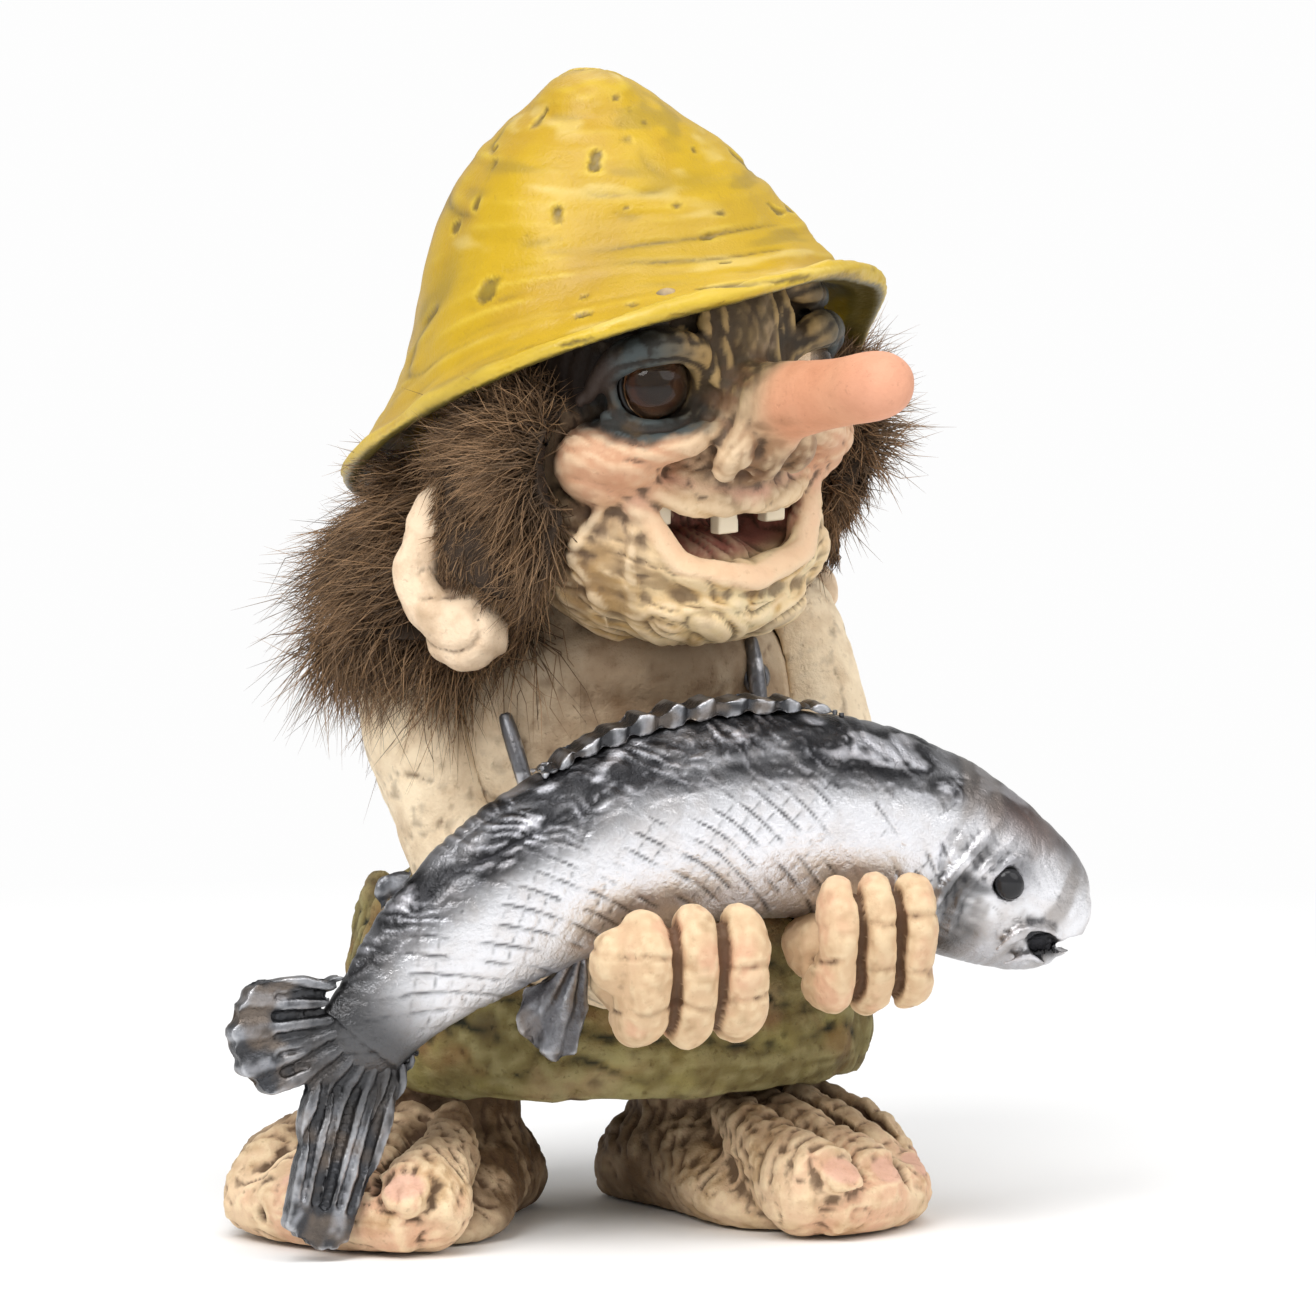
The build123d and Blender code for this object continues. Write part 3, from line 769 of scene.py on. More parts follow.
def speckle_group() -> bpy.types.NodeTree:
    """Group that darkens a colour with fine specks and dabs and lights its grain.

    Returns:
        The group, with inputs Color, Scale, Specks and Dabs and outputs Color and Height.
    """
    tree, source, target = new_group(
        "paint_grain",
        [
            ("Color", "NodeSocketColor", 0.0), ("Scale", "NodeSocketFloat", 1.0),
            ("Specks", "NodeSocketFloat", 0.5), ("Dabs", "NodeSocketFloat", 0.3)
        ],
        [("Color", "NodeSocketColor"), ("Height", "NodeSocketFloat")],
    )
    nodes, links = tree.nodes, tree.links
    place = nodes.new("ShaderNodeTexCoord")
    scaled = nodes.new("ShaderNodeVectorMath")
    scaled.operation = "SCALE"
    links.new(place.outputs["Object"], scaled.inputs[0])
    links.new(source.outputs["Scale"], scaled.inputs["Scale"])

    def textured(size: float, detail: float, low: float, high: float) -> bpy.types.NodeSocket:
        """Band of a noise texture.

        Args:
            size: scale of the noise.
            detail: how fine it goes.
            low: noise value at which the band is 0.
            high: noise value at which the band is 1.

        Returns:
            Socket of the band.
        """
        texture = nodes.new("ShaderNodeTexNoise")
        texture.inputs["Scale"].default_value = size
        texture.inputs["Detail"].default_value = detail
        texture.inputs["Roughness"].default_value = 0.6
        links.new(scaled.outputs[0], texture.inputs["Vector"])
        band = nodes.new("ShaderNodeMapRange")
        band.inputs["From Min"].default_value = low
        band.inputs["From Max"].default_value = high
        links.new(texture.outputs["Fac"], band.inputs["Value"])
        return band.outputs["Result"]

    def times(first: bpy.types.NodeSocket, second: bpy.types.NodeSocket) -> bpy.types.NodeSocket:
        """Product of two values.

        Args:
            first: one value.
            second: the other value.

        Returns:
            Socket of the product.
        """
        node = nodes.new("ShaderNodeMath")
        node.operation = "MULTIPLY"
        links.new(first, node.inputs[0])
        links.new(second, node.inputs[1])
        return node.outputs[0]

    specks = textured(900.0, 3.0, 0.60, 0.78)
    dabs = textured(240.0, 4.0, 0.46, 0.66)
    fine = textured(1500.0, 4.0, 0.2, 0.8)
    colour = source.outputs["Color"]
    for mask, amount, tint in (
        (specks, "Specks", (0.30, 0.22, 0.15, 1.0)), (dabs, "Dabs", (0.55, 0.42, 0.30, 1.0))
    ):
        mix = nodes.new("ShaderNodeMix")
        mix.data_type = "RGBA"
        mix.blend_type = "MULTIPLY"
        links.new(times(mask, source.outputs[amount]), mix.inputs["Factor"])
        links.new(colour, mix.inputs["A"])
        mix.inputs["B"].default_value = tint
        colour = mix.outputs["Result"]
    links.new(colour, target.inputs["Color"])
    height = nodes.new("ShaderNodeMath")
    height.operation = "SUBTRACT"
    links.new(fine, height.inputs[0])
    links.new(specks, height.inputs[1])
    links.new(height.outputs[0], target.inputs["Height"])
    return tree


@dataclass(frozen=True)
class PaintFinish:
    """Hand painted casting: the coat attribute, fine grain and a low relief."""

    name: str
    roughness: float = 0.75
    specular: float = 0.3
    metallic: float = 0.0
    scale: float = 1.0
    specks: float = 0.5
    dabs: float = 0.3
    relief: float = 0.25

    def build(self, grain: bpy.types.NodeTree) -> bpy.types.Material:
        """Make the material.

        Args:
            grain: the shared grain group.

        Returns:
            The material.
        """
        material, nodes, links, shader = fresh_material(self.name)
        shader.inputs["Roughness"].default_value = self.roughness
        shader.inputs["Specular IOR Level"].default_value = self.specular
        shader.inputs["Metallic"].default_value = self.metallic
        coat = nodes.new("ShaderNodeAttribute")
        coat.attribute_name = "coat"
        group = nodes.new("ShaderNodeGroup")
        group.node_tree = grain
        group.inputs["Scale"].default_value = self.scale
        group.inputs["Specks"].default_value = self.specks
        group.inputs["Dabs"].default_value = self.dabs
        links.new(coat.outputs["Color"], group.inputs["Color"])
        links.new(group.outputs["Color"], shader.inputs["Base Color"])
        bump = nodes.new("ShaderNodeBump")
        bump.inputs["Strength"].default_value = self.relief
        bump.inputs["Distance"].default_value = 0.0004
        links.new(group.outputs["Height"], bump.inputs["Height"])
        links.new(bump.outputs["Normal"], shader.inputs["Normal"])
        return material


@dataclass(frozen=True)
class PlainFinish:
    """Even finish with set numbers."""

    name: str
    colour: Colour
    roughness: float = 0.5
    metallic: float = 0.0
    transmission: float = 0.0
    ior: float = 1.5
    coat: float = 0.0

    def build(self) -> bpy.types.Material:
        """Make the material.

        Returns:
            The material.
        """
        material, _, _, shader = fresh_material(self.name)
        shader.inputs["Base Color"].default_value = (*self.colour, 1.0)
        shader.inputs["Roughness"].default_value = self.roughness
        shader.inputs["Metallic"].default_value = self.metallic
        shader.inputs["Transmission Weight"].default_value = self.transmission
        shader.inputs["IOR"].default_value = self.ior
        shader.inputs["Coat Weight"].default_value = self.coat
        return material


@dataclass(frozen=True)
class FurFinish:
    """Brown pile: each strand has its own tone, darker at its root and lighter towards its tip."""

    name: str
    root: Colour
    tip: Colour
    roughness: float = 0.55

    def build(self) -> bpy.types.Material:
        """Make the material.

        Returns:
            The material.
        """
        material, nodes, links, shader = fresh_material(self.name)
        tone = nodes.new("ShaderNodeAttribute")
        tone.attribute_name = "tone"
        mix = nodes.new("ShaderNodeMix")
        mix.data_type = "RGBA"
        mix.inputs["A"].default_value = (*self.root, 1.0)
        mix.inputs["B"].default_value = (*self.tip, 1.0)
        links.new(tone.outputs["Fac"], mix.inputs["Factor"])
        links.new(mix.outputs["Result"], shader.inputs["Base Color"])
        shader.inputs["Roughness"].default_value = self.roughness
        shader.inputs["Specular IOR Level"].default_value = 0.4
        return material


def fresh_material(name: str) -> tuple[
    bpy.types.Material, bpy.types.Nodes, bpy.types.NodeLinks, bpy.types.Node
]:
    """New node material with its Principled shader.

    Args:
        name: material name.

    Returns:
        The material, its nodes, its links and its shader.
    """
    material = bpy.data.materials.new(name)
    material.use_nodes = True
    tree = material.node_tree
    return material, tree.nodes, tree.links, tree.nodes["Principled BSDF"]


class Palette:
    """All finishes of the figure, built once."""

    def __init__(self) -> None:
        """Build the shared group and each material."""
        grain = speckle_group()
        self.skin = PaintFinish(
            "skin_finish", roughness=0.72, specks=0.28, dabs=0.35, relief=0.45
        ).build(grain)
        self.face = PaintFinish(
            "face_finish", roughness=0.60, specks=0.20, dabs=0.15, relief=0.25
        ).build(grain)
        self.moss = PaintFinish("moss_finish", roughness=0.85, specks=0.6, dabs=0.4, relief=0.6).build(grain)
        self.yellow = PaintFinish(
            "yellow_finish", roughness=0.38, specular=0.45, specks=0.12, dabs=0.05, relief=0.2
        ).build(grain)
        self.silver = PaintFinish(
            "silver_finish", roughness=0.30, metallic=0.82, specular=0.6, specks=0.12, dabs=0.2, relief=0.35
        ).build(grain)
        self.metal = PaintFinish(
            "metal_finish", roughness=0.35, metallic=0.9, specks=0.3, dabs=0.3, relief=0.2
        ).build(grain)
        self.tooth = PlainFinish("tooth_finish", (0.80, 0.70, 0.52), roughness=0.3).build()
        self.glass = PlainFinish(
            "glass_finish", (0.50, 0.36, 0.24), roughness=0.02, transmission=1.0, ior=1.33
        ).build()
        self.iris = PaintFinish("iris_finish", roughness=0.3, specks=0.0, dabs=0.0, relief=0.0).build(grain)
        self.fish_eye = PaintFinish(
            "fish_eye_finish", roughness=0.15, specks=0.0, dabs=0.0, relief=0.0
        ).build(grain)
        self.fur = FurFinish("fur_finish", (0.038, 0.021, 0.010), (0.44, 0.26, 0.13)).build()
        self.hide = PlainFinish("hide_finish", (0.036, 0.021, 0.011), roughness=0.9).build()


# Colours of the paint, linear; BROWN and UMBER also lay painted shade in the hollows
BROWN: Colour = (0.11, 0.062, 0.035)
UMBER: Colour = (0.035, 0.022, 0.016)
OCHRE: Colour = (0.42, 0.25, 0.09)
OLIVE: Colour = (0.09, 0.095, 0.035)


class SubAssembly:
    """A group of pieces of the figure."""

    def __init__(self, palette: Palette) -> None:
        """Keep the finishes.

        Args:
            palette: finishes of the figure.
        """
        self.palette = palette


@dataclass
class HeadSizes:
    """Sizes of the face, in millimetres in the head frame (side, depth, height)."""

    voxel: float = 0.52
    eye_side: float = 13.6
    eye_depth: float = -20.4
    eye_height: float = 123.8
    jaw_depth: float = 8.5
    jaw_radius: float = 20.0
    jaw_sag: float = 0.4
    wrinkle: float = 0.55


class Head(SubAssembly):
    """Head casting with lids, brow folds, cheeks, lips and chin."""

    def __init__(self, palette: Palette, sizes: HeadSizes = HeadSizes()) -> None:
        """Keep the finishes and the sizes.

        Args:
            palette: finishes of the figure.
            sizes: sizes of the face.
        """
        super().__init__(palette)
        self.sizes = sizes

    def folds(self, head: Casting) -> None:
        """Add the lids and the folds of the brow, the nose and the cheeks as rolls of clay.

        Args:
            head: the casting, before it is fused.
        """
        head.add_ball((0, -23.0, 129), (7.5, 4.6, 10), (0.0, 0.0, 0.0), HEAD)
        for sign in (-1, 1):
            head.add_cord(
                [
                    (sign * 6.6, -23.5, 121.5), (sign * 8.6, -25.6, 127.4), (sign * 14.0, -25.8, 129.8),
                    (sign * 19.6, -20.6, 127.6), (sign * 22.4, -15.0, 121.0)
                ],
                [1.0, 2.2, 2.8, 2.5, 1.0], HEAD)
            head.add_cord(
                [
                    (sign * 7.0, -23.4, 120.6), (sign * 10.2, -24.4, 118.0), (sign * 15.5, -22.8, 117.4),
                    (sign * 20.5, -18.0, 119.6)
                ],
                [0.9, 1.7, 1.9, 1.2], HEAD)
            for side, size in ((1.4, 1.1), (4.2, 1.5), (6.8, 1.2)):
                head.add_cord(
                    [
                        (sign * side, -24.0, 139.0), (sign * (side + 0.8), -25.6, 132.0),
                        (sign * (side + 0.3), -26.4, 126.0), (sign * side * 0.8, -28.4, 121.6)
                    ],
                    [size * 0.6, size, size * 0.9, size * 0.5], HEAD)
            head.add_cord(
                [(sign * 7.0, -23.0, 137.0), (sign * 13.5, -23.0, 135.2), (sign * 20.0, -18.0, 133.0)],
                [1.6, 2.6, 1.8], HEAD)
            head.add_cord(
                [(sign * 4.5, -31.0, 118.0), (sign * 6.0, -30.5, 114.0), (sign * 6.6, -27.5, 110.8)],
                [2.2, 2.8, 2.0], HEAD)
            head.add_cord(
                [
                    (sign * 6.5, -28.0, 117.6), (sign * 11.5, -26.6, 116.0), (sign * 17.0, -23.4, 114.4),
                    (sign * 21.6, -17.6, 112.6)
                ],
                [1.6, 2.6, 3.1, 2.2], HEAD)
            head.add_ball((sign * 19.0, -18.6, 113.4), (8.0, 5.6, 5.0), (0.0, 0.0, sign * 40.0), HEAD)
            for line in (
                [
                    (sign * 16.5, -20.8, 105.0), (sign * 18.0, -21.0, 99.0), (sign * 16.5, -20.1, 93.0),
                    (sign * 12.0, -18.3, 88.0)
                ],
                [
                    (sign * 20.5, -17.5, 106.0), (sign * 22.6, -14.0, 99.0), (sign * 19.5, -15.6, 92.5),
                    (sign * 15.0, -13.4, 87.5)
                ],
                [(sign * 23.2, -8.5, 104.5), (sign * 23.6, -8.5, 99.0), (sign * 21.2, -9.0, 92.5)],
            ):
                head.add_cord(line, [0.8] + [1.5] * (len(line) - 2) + [0.8], HEAD)
        head.add_cord([(0.0, -36.0, 120.0), (0.0, -33.5, 115.5), (0.0, -29.0, 110.2)], [2.8, 2.6, 1.8], HEAD)

    def shape(self) -> Casting:
        """Fuse the casting and lay the wrinkles on it.

        Returns:
            The shaped head.
        """
        s = self.sizes
        head = Casting.from_nodes("head_casting", "head")
        self.folds(head)
        head.fuse(s.voxel)
        head.smooth(5)
        head.push((0, -26, 97.5), (13, 9, 4.6), (0.0, -0.4, -2.6), HEAD)
        for sign in (-1, 1):
            head.push((sign * 11.5, -24, 101), (6.5, 8, 5), (sign * 0.6, -0.3, -3.4), HEAD)
        head.push((0, -16, 79), (17, 10, 6), (0.0, 7.0, -1.0), HEAD)
        local = HEAD.local(head.read())
        nose = ramp(-local[:, 1], 28, 38) * ramp(local[:, 2], 112, 117)
        brow = near(local, (0, -24, 133), (18, 14, 9))
        chin = near(local, (0, -18, 90), (34, 26, 14))
        cheek = near(local, (0, -18, 112), (30, 14, 8)) * (1 - nose)
        muzzle = near(local, (0, -28, 111), (12, 8, 5)) * (1 - nose)
        lips = self.lips(local)
        amount = (ridges(local, 3.4, 3, (1.0, 1.0, 3.0), 1.2) - 0.4) * brow * 1.2
        flow = self.jaw_flow(local)
        crumple = ridges(flow, 3.0, 6, (2.6, 1.0, 1.0), 1.6)
        crumple += 0.6 * ridges(flow, 1.9, 8, (2.2, 1.0, 1.0), 1.6)
        amount += crumple * chin * (1 - lips) * 1.9
        under_lip = along_line(
            local, [(-15, -22, 96.5), (-9, -26.5, 91.8), (0, -29, 89.8), (9, -26.5, 91.8), (15, -22, 96.5)],
            1.5
        )
        amount += under_lip * 1.1
        amount += stripes(local, (0.35, 0.0, 1.0), 3.4, 7, 0.9) * cheek * (1 - lips) * 0.8
        amount += ridges(local, 3.0, 9, (1.0, 1.0, 1.5)) * muzzle * (1 - lips) * 1.1
        for sign in (-1, 1):
            eye = (sign * s.eye_side, s.eye_depth, s.eye_height)
            about = near(local, eye, (13, 13, 11)) * (1 - near(local, eye, (6.6, 9, 6.6)))
            amount += rings(local, eye, 2.6, 11 + sign) * about * 1.3
        head.raise_by(-amount * s.wrinkle + 0.25 * layered(local, 4.0, 9) * (1 - nose * 0.7))
        return head

    def jaw_flow(self, local: np.ndarray) -> np.ndarray:
        """Coordinates that run round the jaw and sag towards its middle.

        Args:
            local: N x 3 array in the head frame.

        Returns:
            N x 3 array: distance round the jaw, zero, height less the sag.
        """
        s = self.sizes
        arc = np.arctan2(local[:, 0], -local[:, 1] - s.jaw_depth) * s.jaw_radius
        return np.stack([arc, 0 * arc, local[:, 2] - s.jaw_sag * np.abs(arc)], axis=1)

    def lips(self, local: np.ndarray) -> np.ndarray:
        """Mask of both lips.

        Args:
            local: N x 3 array in the head frame.

        Returns:
            N values in 0..1.
        """
        lower = along_line(
            local,
            [
                (-16.4, -20, 106.5), (-12, -25.5, 98.2), (0, -28.5, 95.0), (12, -25.5, 98.2),
                (16.4, -20, 106.5)
            ],
            2.1
        )
        upper = along_line(local, [(-17, -20, 110.2), (0, -27, 106.8), (17, -20, 110.2)], 2.2)
        return ramp(np.maximum(lower, 0.6 * upper), 0.25, 0.6)

    def paint(self, head: Casting) -> None:
        """Paint skin, lips, nose, mask about the eyes, painted shade in folds and mouth, painted highlights
        on ridges.

        Args:
            head: the shaped casting.
        """
        s = self.sizes
        local = HEAD.local(head.read())
        hollow = ramp(head.hollows(4), 0.02, 0.2)
        fine = ramp(head.hollows(1), 0.0, 0.05)
        ridge = ramp(-head.hollows(4), 0.02, 0.16)
        mottle = 0.5 + 0.5 * layered(local, 6.0, 21)
        patch = 0.5 + 0.5 * layered(local, 3.0, 23)
        depth, height = local[:, 1], local[:, 2]
        lips = self.lips(local)
        head.base((0.78, 0.56, 0.36))
        head.wash((0.86, 0.68, 0.38), near(local, (0, -20, 90), (32, 24, 14)) * (0.7 + 0.3 * mottle))
        jaw = near(local, (0, -16, 92), (34, 26, 15)) * (1 - lips)
        smear = 0.5 + 0.5 * layered(self.jaw_flow(local), 2.2, 24, 3, (3.0, 1.0, 1.0))
        head.wash((0.46, 0.25, 0.045), jaw * ramp(smear, 0.50, 0.66) * 0.9)
        head.wash((0.13, 0.07, 0.03), jaw * ramp(smear, 0.46, 0.30) * 0.92)
        head.wash((0.82, 0.70, 0.44), near(local, (8, -28, 90), (18, 12, 9)) * ramp(patch, 0.42, 0.66) * 0.9)
        head.wash(OCHRE, near(local, (-18, -14, 95), (14, 14, 13)) * ramp(mottle, 0.25, 0.65) * 0.9)
        head.wash(BROWN, near(local, (-23, -8, 99), (8, 11, 15)) * ramp(patch, 0.3, 0.65))
        head.wash(BROWN, near(local, (-19, -16, 105), (7, 9, 6)) * ramp(patch, 0.35, 0.6) * 0.7)
        muzzle = near(local, (0, -29, 111.5), (15, 9, 5.5))
        head.wash((0.16, 0.085, 0.045), muzzle * ramp(mottle, 0.1, 0.6))
        head.wash((0.34, 0.22, 0.09), near(local, (0, -26, 129), (11, 12, 13)) * ramp(patch, 0.15, 0.5))
        head.wash(OLIVE, near(local, (0, -22, 139), (30, 22, 10)) * ramp(mottle, 0.15, 0.6))
        head.wash(BROWN, near(local, (0, -18, 141), (34, 22, 8)) * ramp(patch, 0.2, 0.7))
        nose = ramp(-depth, 32, 39) * ramp(height, 112, 117)
        head.wash((0.66, 0.30, 0.17), nose * (0.8 + 0.2 * mottle))
        head.wash((0.76, 0.37, 0.25), nose * ramp(-depth, 48, 60) * 0.5)
        head.wash(
            (0.30, 0.15, 0.07),
            near(local, (0, -36, 115), (9, 8, 6)) * ramp(
                layered(local, 2.6, 26, 3, (1.0, 3.0, 1.0)), -0.1, 0.4
            ) * 0.8
        )
        masks = np.zeros(len(local))
        for sign in (-1, 1):
            head.wash(
                (0.60, 0.31, 0.18),
                ramp(near(local, (sign * 19.3, -19.5, 113.4), (10, 9, 6.4)), 0.05, 0.5) * (0.6 + 0.4 * mottle)
            )
            eye = near(local, (sign * 16.0, s.eye_depth - 1.0, s.eye_height + 2.6), (15.0, 17.0, 12.0))
            mask = ramp(eye + 0.16 * (patch - 0.5), 0.36, 0.50)
            masks = np.maximum(masks, mask)
            head.wash((0.020, 0.019, 0.016), mask)
            # slate on the raised folds within the mask: partly the lids' own slate, partly painted highlight
            head.wash((0.055, 0.068, 0.068), mask * ramp(ridge + 0.4 * (mottle - 0.5), 0.15, 0.7) * 0.9)
            head.wash((0.12, 0.075, 0.035), mask * ramp(patch, 0.55, 0.75) * 0.5)
            head.wash(UMBER, ramp(near(local, (sign * 25.0, -12, 127), (9, 12, 12)), 0.3, 0.6))
        head.wash((0.80, 0.52, 0.34), lips * (0.55 + 0.4 * mottle))
        head.wash((0.70, 0.36, 0.28), lips * ramp(height, 104, 108) * 0.6)
        inside = ramp(depth, -25.0, -22.5) * near(local, (0, -15, 103), (17, 12, 6.5)) * ramp(height, 94, 97)
        head.wash((0.50, 0.20, 0.15), ramp(inside, 0.25, 0.5))
        # painted shade: dark in the top of the mouth, under the upper lip
        head.wash((0.10, 0.03, 0.022), ramp(inside, 0.25, 0.5) * ramp(height, 100.5, 104.5) * 0.85)
        # painted shade: brown in the hollows and umber in the fine creases
        head.wash(BROWN, hollow * (0.85 - 0.2 * jaw - 0.25 * muzzle) * (1 - nose * 0.6) * (1 - masks))
        head.wash(UMBER, fine * hollow * 0.5 * (1 - nose * 0.6) * (1 - jaw))
        # painted highlight on the ridges
        head.wash((0.84, 0.66, 0.44), ridge * 0.5 * (1 - nose) * (1 - masks))
        frown = ramp(near(local, (0, -26, 132), (13, 13, 13)), 0.1, 0.55) * (1 - nose)
        head.wash((0.075, 0.050, 0.026), frown * (0.45 + 0.5 * ramp(patch, 0.25, 0.6)))
        # ochre on the ridges between the brows: partly the brow's ochre lines, partly painted highlight
        head.wash((0.50, 0.34, 0.14), frown * ridge * 0.75)
        head.wash(
            (0.20, 0.10, 0.05),
            ramp(near(local, (0, -33, 118), (10, 10, 10)), 0.1, 0.6) * (1 - nose) * ramp(
                layered(local, 2.2, 29, 3, (1.0, 2.6, 1.0)), 0.0, 0.4
            ) * 0.7
        )

    def build(self) -> None:
        """Make the head."""
        head = self.shape()
        self.paint(head)
        head.publish(Slot.SKIN, self.palette.face, "head")


class Ears(SubAssembly):
    """The two fleshy ears."""

    def build(self) -> None:
        """Make both ears."""
        for side in Side:
            ear = Casting.from_nodes(f"{side.word}_ear_casting", f"{side.word}_ear")
            ear.fuse(0.6)
            ear.smooth(3)
            ear.push((side.value * 30, 2, 96), (14, 18, 24), (side.value * 3.0, -2.0, 0.0), HEAD)
            local = HEAD.local(ear.read())
            ear.push((side.value * 31, 0, 88), (9, 10, 8), (-side.value * 1.4, 1.5, 0.6), HEAD)
            ear.raise_by(0.7 * layered(local, 5.0, 31) - 0.7 * ridges(local, 6.0, 33))
            hollow = ramp(ear.hollows(4), 0.03, 0.25)
            ear.base((0.88, 0.68, 0.48))
            ear.wash((0.50, 0.34, 0.20), ramp(layered(local, 4.0, 35), 0.0, 0.5) * 0.55)
            # painted shade: brown in the hollows
            ear.wash(BROWN, hollow * 0.9)
            ear.wash(BROWN, near(local, (side.value * 27, -2, 98), (6, 10, 12)) * 0.6)
            ear.publish(Slot.SKIN, self.palette.skin, f"{side.word}_ear")


@dataclass
class EyeSizes:
    """Sizes of the painted backings, in millimetres; the eyes sit where the head has them."""

    head: HeadSizes
    turn_deg: float = 14.0
    inset: float = 0.6
    pupil: float = 2.2
    ring: float = 3.0


class Eyes(SubAssembly):
    """Glass domes over painted backings."""

    def __init__(self, palette: Palette) -> None:
        """Keep the finishes and the sizes.

        Args:
            palette: finishes of the figure.
        """
        super().__init__(palette)
        self.sizes = EyeSizes(HeadSizes())

    def build(self) -> None:
        """Make both eyes."""
        s = self.sizes
        turn = math.radians(s.turn_deg)
        for side in Side:
            dome = Casting.from_nodes(f"{side.word}_eye_dome", f"{side.word}_eye_glass")
            dome.fuse(0.25)
            dome.smooth(24)
            dome.publish(Slot.GLASS, self.palette.glass, f"{side.word}_eye_glass")
            back = Casting.from_nodes(f"{side.word}_eye_back", f"{side.word}_eye_iris")
            back.fuse(0.3)
            centre = (side.value * s.head.eye_side, s.head.eye_depth, s.head.eye_height)
            look = np.array([side.value * math.sin(turn), -math.cos(turn), 0.0])
            back.push(centre, (40, 40, 40), tuple(-s.inset * look), HEAD)
            offset = HEAD.local(back.read()) - np.array(centre)
            ahead = offset @ look
            radial = np.linalg.norm(offset - ahead[:, None] * look, axis=1)
            back.base((0.012, 0.010, 0.009))
            back.wash(
                (0.085, 0.034, 0.011),
                ramp(radial, s.pupil, s.pupil + 0.4) * (1 - ramp(radial, s.ring, s.ring + 0.9))
            )
            back.publish(Slot.IRIS, self.palette.iris, f"{side.word}_eye_iris")


class Teeth(SubAssembly):
    """Three pegs in the upper gum."""

    def build(self) -> None:
        """Make the teeth."""
        teeth = Casting.from_nodes("teeth_casting", "teeth")
        teeth.fuse(0.3)
        teeth.smooth(4)
        teeth.publish(Slot.TOOTH, self.palette.tooth, "teeth")


@dataclass(frozen=True)
class Bend:
    """A soft push of the skin: where it is strongest, how far it reaches and its way, in millimetres."""

    centre: Point
    half: Point
    way: Point


@dataclass
class HatSizes:
    """Sizes of the hat, in millimetres in the head frame."""

    voxel: float = 0.6
    smoothing: int = 12
    groove: float = 0.38
    lump: float = 1.0
    pit: float = 0.35
    crease: float = 0.3
    slope: float = 0.4877
    wrap: float = 30.0
    inner_top: float = 160.0


